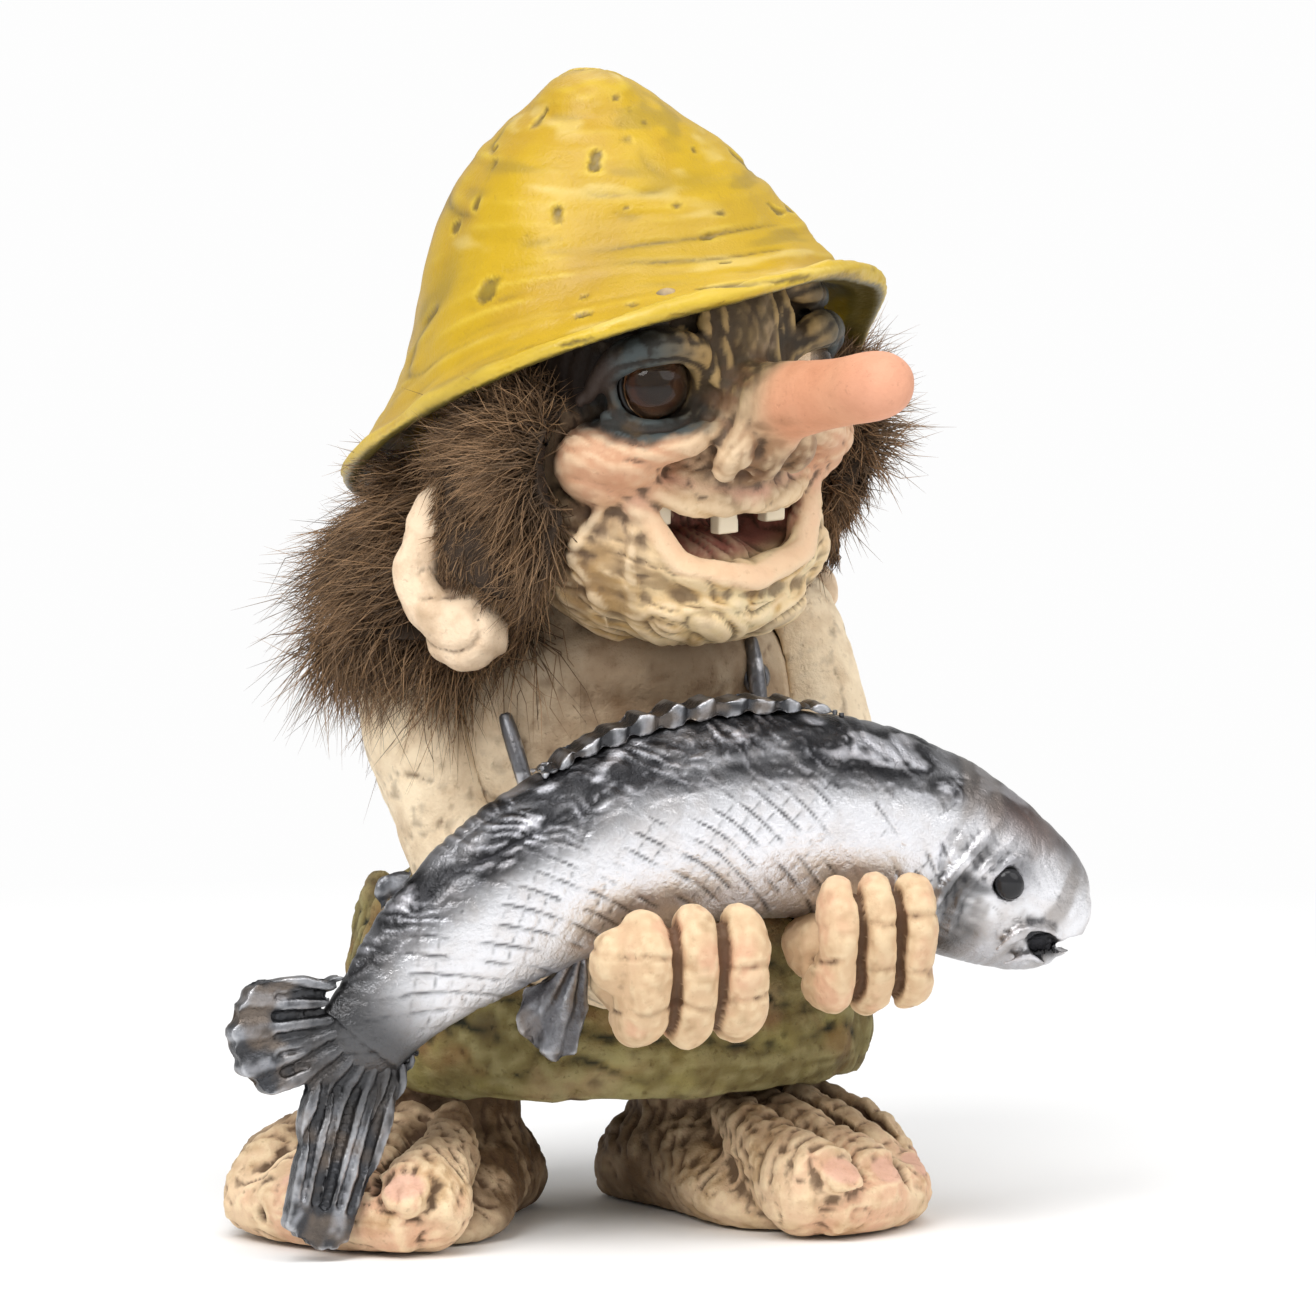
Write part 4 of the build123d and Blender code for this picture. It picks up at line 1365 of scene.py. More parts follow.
class Hat(SubAssembly):
    """Yellow sou'wester with brush grooves and worn pits."""

    BENDS = (
        Bend((16, -34, 140), (17, 14, 12), (0.5, -1.0, 3.4)),
        Bend((28, -24, 134), (9, 10, 10), (1.8, -1.0, 1.8)),
        Bend((37, 0, 121), (9, 14, 9), (0.6, 0.0, -4.6)),
        Bend((12, -4, 152), (9, 9, 8), (0.8, -0.5, 0.3)),
        Bend((-14, -12, 146), (9, 9, 10), (0.9, 1.0, -0.4)),
        Bend((-25, 22, 124), (12, 14, 11), (1.2, -1.0, 0.0)),
        Bend((23, -17, 142), (8, 9, 7), (1.6, -1.2, 2.0)),
    )

    def __init__(self, palette: Palette, sizes: HatSizes = HatSizes()) -> None:
        """Keep the finishes and the sizes.

        Args:
            palette: finishes of the figure.
            sizes: sizes of the hat.
        """
        super().__init__(palette)
        self.sizes = sizes

    def clay(self) -> Casting:
        """Add the knob and the rolled rim to the CAD hat, fuse them and bend the whole.

        Returns:
            The casting, smooth and unpainted.
        """
        s = self.sizes
        hat = Casting.from_nodes("hat_casting", "hat")
        hat.add_ball((-4.4, 4.6, 160.3), (8.2, 8.2, 5.8), (0.0, 0.0, 0.0), HEAD)
        rim = BRIM.line()
        hat.add_cord(rim, [BRIM.thickness / 2] * len(rim), HEAD, 10)
        hat.fuse(s.voxel)
        hat.smooth(s.smoothing)
        for bend in self.BENDS:
            hat.push(bend.centre, bend.half, bend.way, HEAD)
        return hat

    def build(self) -> None:
        """Make the hat: brush grooves, creases and pits, then the paint with its painted highlights and
        shade.
        """
        s = self.sizes
        hat = self.clay()
        local = HEAD.local(hat.read())
        angle = np.arctan2(local[:, 0], -(local[:, 1] - BRIM.centre_depth))
        radius = np.hypot(local[:, 0], local[:, 1] - BRIM.centre_depth)
        rise = local[:, 2] - s.slope * -(local[:, 1] + BRIM.centre_depth) * ramp(146 - local[:, 2], -8, 22)
        flow = np.stack([np.cos(angle) * s.wrap, np.sin(angle) * s.wrap, rise], axis=1)
        outside = ramp(hat.normals()[:, 2] + 0.25, -0.1, 0.1)
        grooves = layered(flow, 2.0, 41, 2, (9.0, 9.0, 1.0))
        deep = ridges(
            flow, 7.0, 45, (3.5, 3.5, 0.8), 4.0
        ) * ramp(layered(flow, 18.0, 44), -0.1, 0.4) * ramp(radius, 12, 18)
        lumps = layered(local, 15.0, 43)
        pits = ramp(noise(flow, 2.6, 47, (1.8, 1.8, 0.7)) + 0.25 * layered(flow, 14.0, 48), 0.60, 0.82)
        brim = ramp(126 - rise, 0, 5)
        relief = grooves * s.groove + lumps * s.lump - pits * s.pit - deep * s.crease
        hat.raise_by(relief * (0.25 + 0.75 * outside))
        hollow = ramp(hat.hollows(3), 0.015, 0.15)
        ridge = ramp(-hat.hollows(3), 0.015, 0.12)
        worn = ramp(layered(flow, 8.0, 51, 3, (3.0, 3.0, 1)), 0.1, 0.55)
        strokes = layered(flow, 3.2, 52, 3, (5.0, 5.0, 1.0))
        hat.base((0.53, 0.335, 0.004))
        hat.wash((0.46, 0.27, 0.012), ramp(layered(flow, 14.0, 50, 3), -0.15, 0.4) * 0.75)
        # painted highlight on the ridges
        hat.wash((0.70, 0.52, 0.06), ridge * 0.5)
        hat.wash((0.76, 0.62, 0.24), ramp(strokes, 0.25, 0.5) * 0.36)
        hat.wash((0.30, 0.20, 0.02), ramp(-strokes, 0.18, 0.5) * 0.55)
        hat.wash((0.34, 0.21, 0.03), worn * (0.25 + 0.40 * brim))
        hat.wash((0.70, 0.56, 0.28), brim * ramp(layered(flow, 4.0, 53, 3, (4.0, 4.0, 1)), -0.05, 0.4) * 0.55)
        # painted shade in the hollows, the pits and the deep creases
        hat.wash((0.20, 0.12, 0.02), hollow * 0.6)
        hat.wash((0.09, 0.07, 0.02), np.maximum(pits, deep) * 0.6)
        # painted shade where the surface faces down, under the brim and inside the hat
        within = ramp(40 - radius + 40 * (local[:, 2] < s.inner_top), 0, 1)
        under = ramp(-hat.normals()[:, 2], 0.45, 0.8) * within
        hat.wash((0.055, 0.045, 0.012), under * 0.92)
        hat.publish(Slot.YELLOW, self.palette.yellow, "hat")


@dataclass(frozen=True)
class HandSizes:
    """Sizes of one hand, in millimetres.

    heel and foot are where its middle finger and its finger roots lie, shift and squeeze move and narrow
    the fingers, and stretch makes them longer.
    """

    heel: float
    foot: float
    shift: float = 0.0
    squeeze: float = 1.0
    stretch: float = 0.19
    finger_edge: float = 3.65
    finger_pitch: float = 7.3


class Body(SubAssembly):
    """Torso, arms, hands and braces."""

    HANDS = {Side.RIGHT: HandSizes(-3.2, 30.5), Side.LEFT: HandSizes(25.6, 35.0, -1.3, 0.80)}
    ARM_BENDS = {
        Side.RIGHT: Bend((-36, -2, 57), (10, 13, 17), (2.4, 0.0, 0.0)),
        Side.LEFT: Bend((41, 0, 77), (10, 13, 17), (-2.6, 0.0, 0.0)),
    }

    def skin(
        self, name: str, node: str, voxel: float, seed: int, fills: Sequence[tuple[Point, Point]] = ()
    ) -> Casting:
        """A skin casting from one node with its relief and base coat.

        Args:
            name: piece name.
            node: CAD node.
            voxel: grid size in millimetres.
            seed: pattern of the relief.
            fills: centres and half sizes of lumps that fill seats out of sight.

        Returns:
            The casting, painted with base, mottle, brown washes and painted shade in its hollows.
        """
        piece = Casting.from_nodes(name, node)
        for centre, half in fills:
            piece.add_ball(centre, half)
        piece.fuse(voxel)
        piece.smooth(3)
        points = piece.read()
        piece.raise_by(
            0.5 * layered(points, 8.0, seed) + 0.22 * layered(points, 1.8, seed + 3)
            - 0.28 * ridges(points, 9.0, seed + 5)
        )
        hollow = ramp(piece.hollows(4), 0.01, 0.14)
        mottle = ramp(layered(points, 7.0, seed + 7), -0.2, 0.5)
        piece.base((0.92, 0.76, 0.54))
        piece.wash((0.60, 0.44, 0.28), mottle * 0.5)
        piece.wash(BROWN, ramp(layered(points, 2.2, seed + 9), 0.2, 0.6) * 0.45)
        # painted shade: brown in the hollows
        piece.wash(BROWN, hollow * 0.7)
        return piece

    def build(self) -> None:
        """Make the torso, the arms, the hands and the braces."""
        torso = self.skin(
            "torso_casting", "torso", 0.8, 61, [((0, -2, 84), (22, 15, 11)), ((1, -7, 80), (21, 14.5, 10))]
        )
        points = torso.read()
        torso.wash(
            (0.28, 0.17, 0.09),
            near(points, (5, -20, 74), (36, 16, 14)) * np.clip(
                0.8 + 0.7 * layered(points, 3.4, 63, 3, (1.0, 1.0, 2.0)), 0, 1
            )
        )
        # painted shade: dark across the top of the chest, under the jaw
        torso.wash((0.10, 0.06, 0.035), near(points, (4, -14, 88), (28, 16, 9)) * 0.8)
        torso.publish(Slot.SKIN, self.palette.skin, "torso")
        for side in Side:
            arm = self.skin(f"{side.word}_arm_casting", f"{side.word}_arm", 0.7, 71 + side.value)
            bend = self.ARM_BENDS[side]
            arm.push(bend.centre, bend.half, bend.way)
            arm.publish(Slot.SKIN, self.palette.skin, f"{side.word}_arm")
            self.hand(side)
        for node in ("right_brace", "left_brace", "brace_button"):
            trim = Casting.from_nodes(f"{node}_trim", node)
            trim.fuse(0.3)
            trim.smooth(3)
            trim.base((0.16, 0.16, 0.17))
            trim.wash((0.45, 0.45, 0.47), ramp(layered(trim.read(), 1.6, 83), 0.0, 0.4))
            trim.publish(Slot.METAL, self.palette.metal, node)

    def hand(self, side: Side) -> None:
        """Make one hand: peach, painted highlights on ridges, painted shade in creases and the finger
        grooves.

        Args:
            side: which hand.
        """
        hand = Casting.from_nodes(f"{side.word}_hand_casting", f"{side.word}_hand")
        hand.fuse(0.5)
        hand.smooth(4)
        points = hand.read()
        s = self.HANDS[side]
        front = ramp(-points[:, 1], 43, 48)
        across = points[:, 0] - s.heel
        points[:, 0] = s.heel + s.shift * front + across * (1 + (s.squeeze - 1) * front)
        points[:, 2] += front * s.stretch * np.maximum(points[:, 2] - s.foot, 0)
        hand.write(points)
        hand.smooth(9)
        wander = 0.35 * noise(points, 5.0, 92)
        grooves = np.zeros(len(points))
        for edge in (-s.finger_edge, s.finger_edge):
            grooves = np.maximum(grooves, np.exp(-((across - edge + wander) / 0.62) ** 2))
        rise = points[:, 2] - s.foot
        digit = np.clip(np.round(across / s.finger_pitch), -1, 1)
        bent = wander * 3.2 + digit * side.value * 0.9
        knuckles = np.maximum(
            np.exp(-((rise - 6.0 + bent) / 0.5) ** 2), 0.8 * np.exp(-((rise - 12.6 - bent) / 0.5) ** 2)
        )
        hand.raise_by(
            0.65 * layered(points, 3.5, 91) - 1.1 * grooves * front
            - 0.4 * knuckles * front * ramp(layered(points, 4.0, 94), -0.3, 0.2)
        )
        hollow = ramp(hand.hollows(4), 0.04, 0.26)
        ridge = ramp(-hand.hollows(4), 0.02, 0.16)
        hand.base((0.66, 0.46, 0.28))
        hand.wash((0.70, 0.36, 0.24), ramp(layered(points, 5.0, 95), 0.0, 0.5) * 0.5)
        hand.wash((0.36, 0.22, 0.11), ramp(layered(points, 3.0, 99), 0.05, 0.5) * 0.45)
        # painted highlight on the ridges
        hand.wash((0.84, 0.68, 0.44), ridge * 0.5)
        # painted shade in the knuckle creases
        hand.wash((0.20, 0.11, 0.05), knuckles * front * 0.4 * ramp(layered(points, 3.0, 96), -0.3, 0.2))
        # painted shade in the hollows and the grooves between the fingers
        hand.wash((0.09, 0.04, 0.018), np.maximum(hollow * 0.9, ramp(grooves, 0.35, 0.8) * front * 0.9))
        hand.publish(Slot.SKIN, self.palette.face, f"{side.word}_hand")


@dataclass(frozen=True)
class LobeRow:
    """One row of leafy lobes on the skirt: its height in millimetres, its share of the ring and its count."""

    height: float
    share: float
    count: int


@dataclass
class SkirtSizes:
    """Sizes of the skirt, in millimetres in the body frame."""

    voxel: float = 0.75
    ring_half_width: float = 37.0
    ring_half_depth: float = 27.8
    ring_depth: float = -2.0
    start_deg: float = -38.0
    sweep_deg: float = 256.0
    lobe_depth: float = 2.5
    rows: tuple[LobeRow, ...] = (LobeRow(41.0, 0.93, 15), LobeRow(36.0, 0.99, 16), LobeRow(29.5, 0.99, 15))


class Skirt(SubAssembly):
    """Moss green skirt with leafy lobes."""

    def __init__(self, palette: Palette, sizes: SkirtSizes = SkirtSizes()) -> None:
        """Keep the finishes and the sizes.

        Args:
            palette: finishes of the figure.
            sizes: sizes of the skirt.
        """
        super().__init__(palette)
        self.sizes = sizes

    def build(self) -> None:
        """Make the skirt."""
        s = self.sizes
        skirt = Casting.from_nodes("skirt_casting", "skirt")
        dice = random.Random(7)
        for index, row in enumerate(s.rows):
            for step in range(row.count):
                angle = math.radians(s.start_deg + s.sweep_deg * (step + 0.5 * (index % 2)) / row.count)
                x = math.cos(angle) * s.ring_half_width * row.share
                y = math.sin(angle) * s.ring_half_depth * row.share + s.ring_depth
                lean = (dice.uniform(-28, 28), dice.uniform(-8, 14), math.degrees(angle))
                skirt.add_ball(
                    (x, y, row.height + dice.uniform(-1.5, 1.5)),
                    (s.lobe_depth, dice.uniform(3.2, 4.4), dice.uniform(5.4, 7.2)), lean
                )
        skirt.fuse(s.voxel)
        skirt.smooth(3)
        points = skirt.read()
        front = ramp(-points[:, 1], 8, 22)
        veins = ridges(points, 3.2, 103, (1.0, 1.0, 3.2), 1.6) + 0.5 * ridges(points, 2.2, 110)
        hem = stripes(points, (0.15, 0.1, 1.0), 6.5, 104, 1.1, 2.0)
        hem += 0.6 * ridges(points, 5.0, 106, (2.5, 1.0, 0.7))
        skirt.raise_by(0.7 * layered(points, 5.0, 101) - 0.5 * veins * (1 - front) - 0.4 * hem * front)
        hollow = ramp(skirt.hollows(4), 0.01, 0.2)
        ridge = ramp(-skirt.hollows(4), 0.02, 0.16)
        mottle = layered(points, 5.0, 105)
        skirt.base((0.19, 0.15, 0.055))
        skirt.wash((0.30, 0.26, 0.09), ramp(mottle, 0.0, 0.5) * 0.8)
        skirt.wash((0.34, 0.24, 0.13), ramp(layered(points, 8.0, 107), 0.05, 0.45) * 0.7)
        # painted highlight on the ridges
        skirt.wash((0.40, 0.36, 0.17), ridge * 0.5)
        skirt.wash((0.05, 0.03, 0.015), ramp(layered(points, 4.0, 108), 0.1, 0.5) * 0.6)
        skirt.wash((0.22, 0.11, 0.04), ramp(layered(points, 6.0, 109, 3, (2.0, 1, 1)), 0.05, 0.4) * 0.6)
        # painted shade: near black in the hollows
        skirt.wash((0.018, 0.018, 0.008), hollow)
        skirt.publish(Slot.MOSS, self.palette.moss, "skirt")


@dataclass(frozen=True)
class Toe:
    """One toe: its tip in millimetres in the foot frame for a right foot, and its radius."""

    across: float
    forward: float
    radius: float


class Feet(SubAssembly):
    """Big wrinkled feet."""

    TOES = (Toe(13.2, 41.0, 7.1), Toe(2.8, 39.8, 6.2), Toe(-6.4, 35.7, 5.8), Toe(-14.4, 29.5, 5.5))
    PLACES = {Side.RIGHT: Axis(-25.5, -2.0, 0.0, -42.0), Side.LEFT: Axis(14.5, -2.5, 0.0, 25.0)}
    BENDS = {
        Side.RIGHT: Bend((-17, -31, 5), (13, 14, 14), (-2.4, -2.4, 0.0)),
        Side.LEFT: Bend((18, -28, 6), (11, 14, 14), (-3.2, 0.0, -1.0)),
    }

    def nail_spots(self, sign: int) -> list[tuple[Point, float]]:
        """Centre and radius of each nail.

        Args:
            sign: 1 for the right foot and -1 for the left.

        Returns:
            Places in the foot frame with radii.
        """
        return [
            ((sign * toe.across, -toe.forward - toe.radius * 0.15, toe.radius * 1.42), toe.radius * 0.52)
            for toe in self.TOES
        ]

    def build(self) -> None:
        """Make both feet."""
        for side, axis in self.PLACES.items():
            foot = self.clay(side, axis)
            local = axis.local(foot.read())
            gaps = self.carve(foot, side, local)
            self.paint(foot, side, local, gaps)
            foot.publish(Slot.SKIN, self.palette.skin, f"{side.word}_foot")

    def clay(self, side: Side, axis: Axis) -> Casting:
        """Add toe columns, nails and the ball of the foot to the CAD foot and fuse them.

        Args:
            side: which foot.
            axis: frame of the foot.

        Returns:
            The casting, smooth and unpainted.
        """
        foot = Casting.from_nodes(f"{side.word}_foot_casting", f"{side.word}_foot")
        nails = self.nail_spots(-side.value)
        for place, radius in nails:
            foot.add_ball(place, (radius, radius * 1.1, 1.3), (38.0, 0.0, 0.0), axis)
        sign = -side.value
        for toe in self.TOES:
            line = [
                (sign * toe.across, 2.0 - toe.forward, toe.radius + 0.8),
                (sign * toe.across * 0.86, -25.0, 11.5), (sign * toe.across * 0.6, -13.0, 15.5)
            ]
            foot.add_cord(line, [toe.radius * 0.92, toe.radius * 0.78, 3.4], axis)
        if side is Side.RIGHT:
            foot.add_ball((-14.5, -15.0, 7.4), (8.5, 12.0, 8.6), (0.0, 0.0, 0.0), axis)
        foot.add_cord(
            [(sign * toe.across, -toe.forward + toe.radius * 0.2, 5.0) for toe in self.TOES],
            [4.6, 5.2, 5.2, 4.6], axis
        )
        foot.fuse(0.55)
        foot.smooth(3)
        bend = self.BENDS[side]
        foot.push(bend.centre, bend.half, bend.way, axis)
        return foot

    def carve(self, foot: Casting, side: Side, local: np.ndarray) -> np.ndarray:
        """Carve wrinkles, toe gaps and knuckle creases.

        Args:
            foot: the casting.
            side: which foot.
            local: its points in the foot frame, before carving.

        Returns:
            N values, 1 in a gap between toes.
        """
        sign = -side.value
        upper = ramp(local[:, 2], 1.5, 6.0)
        instep = 1 - ramp(-local[:, 1], 26, 34) * 0.6
        wrinkle = 0.55 * stripes(local, (0.25, 1.0, 0.45), 3.3, 111 + side.value, 1.6, 2.0)
        wrinkle += 0.8 * ridges(local, 4.0, 112, (2.4, 1.0, 1.0), 2.0)
        foot.raise_by(
            upper
            * (
                0.8 * layered(local, 7.0, 113)
                - 0.55 * wrinkle * instep * ramp(layered(local, 8.0, 116), -0.5, 0.2)
                + 0.2 * layered(local, 1.8, 117)
            )
        )
        gaps = np.zeros(len(local))
        for first, second in zip(self.TOES, self.TOES[1:]):
            middle = sign * (first.across + second.across) / 2
            reach = -(first.forward + second.forward) / 2
            line = [
                (middle * 1.08, reach - 8, 3.0), (middle, reach - 3, 9.5), (middle * 0.86, -25.0, 15.0),
                (middle * 0.7, -16.0, 18.0)
            ]
            gaps = np.maximum(gaps, ramp(along_line(local, line, 1.1), 0.3, 0.9))
        knuckles = stripes(local, (0.2, 1.0, -0.5), 3.4, 120 + side.value, 1.8, 2.0)
        knuckles *= ramp(local[:, 2], 6, 9)
        foot.raise_by(-1.5 * gaps - 0.38 * knuckles - 0.28 * ridges(local, 2.4, 124, (1.8, 1.0, 1.0)))
        return gaps

    def paint(self, foot: Casting, side: Side, local: np.ndarray, gaps: np.ndarray) -> None:
        """Paint skin, nails and ochre mottle, painted highlights on ridges and painted shade up the foot, in
        hollows and gaps.

        Args:
            foot: the carved casting.
            side: which foot.
            local: its points in the foot frame, before carving.
            gaps: N values, 1 in a gap between toes.
        """
        nails = self.nail_spots(-side.value)
        hollow = ramp(foot.hollows(4), 0.015, 0.17)
        ridge = ramp(-foot.hollows(4), 0.02, 0.16)
        foot.base((0.78, 0.57, 0.37))
        foot.wash(
            (0.74, 0.40, 0.26),
            ramp(-local[:, 1], 28, 40) * ramp(layered(local, 5.0, 114), -0.4, 0.3) * 0.6
        )
        foot.wash(OCHRE, ramp(layered(local, 5.0, 119), 0.05, 0.5) * 0.5)
        # painted highlight on the ridges
        foot.wash((0.92, 0.74, 0.48), ridge * 0.6)
        # painted shade towards the back and top of the foot, under the skirt, stronger on the right foot
        start, depth = (-38, 1.0) if side is Side.RIGHT else (-22, 0.85)
        shade = np.maximum(ramp(local[:, 1], start, start + 22), ramp(local[:, 2], 11, 20))
        foot.wash(
            (0.13, 0.075, 0.035), shade * depth * np.clip(0.85 + 0.8 * layered(local, 4.0, 115), 0, 1)
        )
        # painted shade in the hollows and in the gaps between the toes
        foot.wash((0.10, 0.055, 0.028), hollow * (0.95 if side is Side.RIGHT else 0.8))
        foot.wash((0.07, 0.035, 0.018), gaps * 0.85)
        for place, radius in nails:
            foot.wash(
                (0.76, 0.46, 0.34), ramp(near(local, place, (radius, radius, 2.6)), 0.35, 0.55) * 0.9
            )


@dataclass
class FishSizes:
    """Sizes of the fish, in millimetres in the fish frame."""

    voxel: float = 0.42
    arc_radius: float = 80.0
    tail_end_deg: float = -51.0
    scale_size: float = 3.5
    scale_depth: float = 0.26
    mouth_depth: float = 1.1


class Fish(SubAssembly):
    """Salmon with engraved scales, a dark back and rayed fins."""

    def __init__(self, palette: Palette, sizes: FishSizes = FishSizes()) -> None:
        """Keep the finishes and the sizes.

        Args:
            palette: finishes of the figure.
            sizes: sizes of the fish.
        """
        super().__init__(palette)
        self.sizes = sizes

    def lay(self, points: np.ndarray) -> tuple[np.ndarray, np.ndarray, np.ndarray]:
        """Where points lie on the fish.

        Args:
            points: N x 3 array in millimetres in the body frame.

        Returns:
            Angle along the arc in degrees, distance out from the centre line, distance across.
        """
        local = FISH.local(points)
        radius = np.hypot(local[:, 0], local[:, 2])
        return np.degrees(np.arctan2(local[:, 0], local[:, 2])), radius - self.sizes.arc_radius, local[:, 1]

    def spot(self, angle_deg: float, out: float, across: float) -> Point:
        """Place in the fish frame from its angle, its distance out and its side.

        Args:
            angle_deg: angle along the arc.
            out: distance out from the centre line.
            across: distance to the side.

        Returns:
            The place.
        """
        angle, radius = math.radians(angle_deg), self.sizes.arc_radius + out
        return (radius * math.sin(angle), across, radius * math.cos(angle))

    def bend_head(self, piece: Casting) -> None:
        """Draw the brow of the fish back and its jaw down.

        Args:
            piece: the body or the eyes.
        """
        piece.push(self.spot(29.0, 12.0, 0.0), (30, 18, 24), (-2.6, 0.0, -3.0), FISH)
        piece.push(self.spot(31.0, -15.5, 0.0), (20, 16, 11), (1.6, 0.0, -2.6), FISH)

    def clay(self) -> Casting:
        """Add jaw, gill covers and tail end to the CAD body, fuse them and bend the head.

        Returns:
            The casting, smooth and unpainted.
        """
        s = self.sizes
        fish = Casting.from_nodes("fish_body_casting", "fish_body")
        for side in (-1, 1):
            for line, size in (
                (((35.6, -3.0, 4.0), (32.8, -3.6, 7.4), (29.8, -6.0, 8.8), (27.8, -10.0, 7.6)), 1.0),
                (((34.6, -7.4, 4.4), (31.8, -8.4, 6.6), (29.6, -11.0, 5.6)), 0.8),
                (((23.5, 8.0, 8.0), (21.4, 2.0, 10.2), (19.0, -6.0, 9.8), (19.6, -11.5, 6.6)), 1.0),
                (((25.4, 6.4, 8.6), (23.4, 1.0, 10.0), (21.4, -6.0, 9.4), (22.0, -11.0, 6.6)), 0.7),
                (((27.2, 4.6, 9.0), (25.4, 2.2, 9.8), (24.0, -2.4, 9.8)), 0.55),
            ):
                places = [self.spot(angle, out, side * across) for angle, out, across in line]
                fish.add_cord(places, [size * 0.6] + [size] * (len(places) - 2) + [size * 0.5], FISH)
        fish.add_ball(self.spot(33.6, -5.4, 0.0), (4.4, 4.6, 2.6), (0.0, 35.0, 0.0), FISH)
        tail_end = self.spot(s.tail_end_deg, 0.0, 0.0)
        fish.add_ball(tail_end, (4.8, 3.2, 6.6), (0.0, s.tail_end_deg, 0.0), FISH)
        fish.fuse(s.voxel)
        fish.smooth(4)
        self.bend_head(fish)
        return fish

    def trunk(self) -> None:
        """Make the body of the fish: engrave its scales, hatch its back and paint it, with painted highlights
        and shade.
        """
        s = self.sizes
        fish = self.clay()
        angle, out, _ = self.lay(fish.read())
        length = np.radians(angle) * s.arc_radius
        body = 1 - ramp(angle, 17.2, 19.2)
        laid = np.stack([length, np.zeros_like(out), out], axis=1)
        wobble = noise(laid, 9.0, 121) * 0.9
        first = np.abs(((length * 0.9 + out * 0.9 + wobble) / s.scale_size) % 1 - 0.5) * 2
        second = np.abs(((length * 0.9 - out * 0.9 + wobble) / s.scale_size) % 1 - 0.5) * 2
        broken = ramp(layered(laid, 4.5, 122), -0.35, 0.35)
        lines = np.maximum(ramp(first, 0.58, 0.95), ramp(second, 0.66, 0.98) * 0.6) * (0.15 + 0.85 * broken)
        back = ramp(out + 2.4 * layered(laid, 7.0, 127, 3, (2.0, 1.0, 1.0)), 2.5, 8.0)
        hatch = ridges(laid, 3.2, 125, (2.6, 1.0, 1.0), 1.5)
        hatch += 0.5 * stripes(laid, (0.8, 0.0, 1.0), 2.3, 128, 2.2, 2.0)
        nose = ramp(angle, 29, 35)
        head_spots = np.stack([angle, 0 * angle, out], axis=1)
        wedge = ramp(near(head_spots, (34.8, 0, -8.3), (3.4, 1, 1.5)), 0.15, 0.6)
        fish.raise_by(
            -s.mouth_depth * wedge + body * (-lines * s.scale_depth * (1 - back * 0.6))
            - hatch * back * body * 0.38
            + 0.22 * layered(laid, 5.0, 123) - 0.15 * hatch * (1 - body)
        )
        streak = layered(laid, 2.0, 126, 3, (3.0, 1.0, 1.2))
        hollow = ramp(fish.hollows(3), 0.02, 0.14)
        ridge = ramp(-fish.hollows(3), 0.02, 0.12)
        fish.base((0.74, 0.74, 0.76))
        # painted highlight along the middle of the flank
        fish.wash((0.86, 0.86, 0.90), near(laid, (0, 0, -2), (60, 30, 6)) * 0.7)
        # greyer towards the back: partly the back's own darker silver, partly painted shade of the round body
        fish.wash((0.34, 0.34, 0.36), ramp(out, 1, 9) * 0.6)
        # painted shade towards the belly edge
        fish.wash((0.34, 0.34, 0.37), ramp(-out, 8, 14) * 0.6)
        fish.wash((0.018, 0.018, 0.020), back * (0.60 + 0.40 * ramp(streak, -0.5, 0.1)) * (1 - nose * 0.3))
        fish.wash((0.14, 0.14, 0.15), lines * body * (0.12 + 0.25 * layered(laid, 9.0, 129)))
        fish.wash((0.62, 0.62, 0.66), back * ramp(streak, 0.26, 0.48) * 0.65)
        # painted highlight on the ridges, kept off the tail root
        fish.wash((0.75, 0.75, 0.80), ridge * 0.5 * ramp(angle, -50, -44))
        fish.wash(
            (0.30, 0.27, 0.25),
            (1 - body) * ramp(layered(laid, 4.0, 130, 3, (1.0, 1.0, 2.0)), -0.1, 0.4) * 0.7
        )
        # painted shade behind the gill cover
        fish.wash(
            (0.05, 0.05, 0.05),
            ramp(near(head_spots, (21.8, 0, -9.0), (4.2, 1, 10.0)), 0.0, 0.7) * ramp(streak, -0.5, 0.2) * 0.85
        )
        fish.wash((0.30, 0.20, 0.17), near(head_spots, (27.0, 0, 6.0), (5.0, 1, 3.6)) * 0.5)
        # painted shade: the dark of the closed mouth's opening
        fish.wash((0.015, 0.015, 0.016), wedge * 0.95)
        # painted shade towards the tail root, where the body meets the fin
        fish.wash((0.05, 0.05, 0.052), ramp(-angle, 42.0, 50.0) * 0.92)
        # painted shade in the hollows
        fish.wash((0.02, 0.02, 0.024), hollow * 0.85)
        fish.wash((0.12, 0.12, 0.13), near(head_spots, (26.4, 0, -0.6), (2.6, 1, 3.4)) * 0.8)
        fish.publish(Slot.SILVER, self.palette.silver, "fish_body")

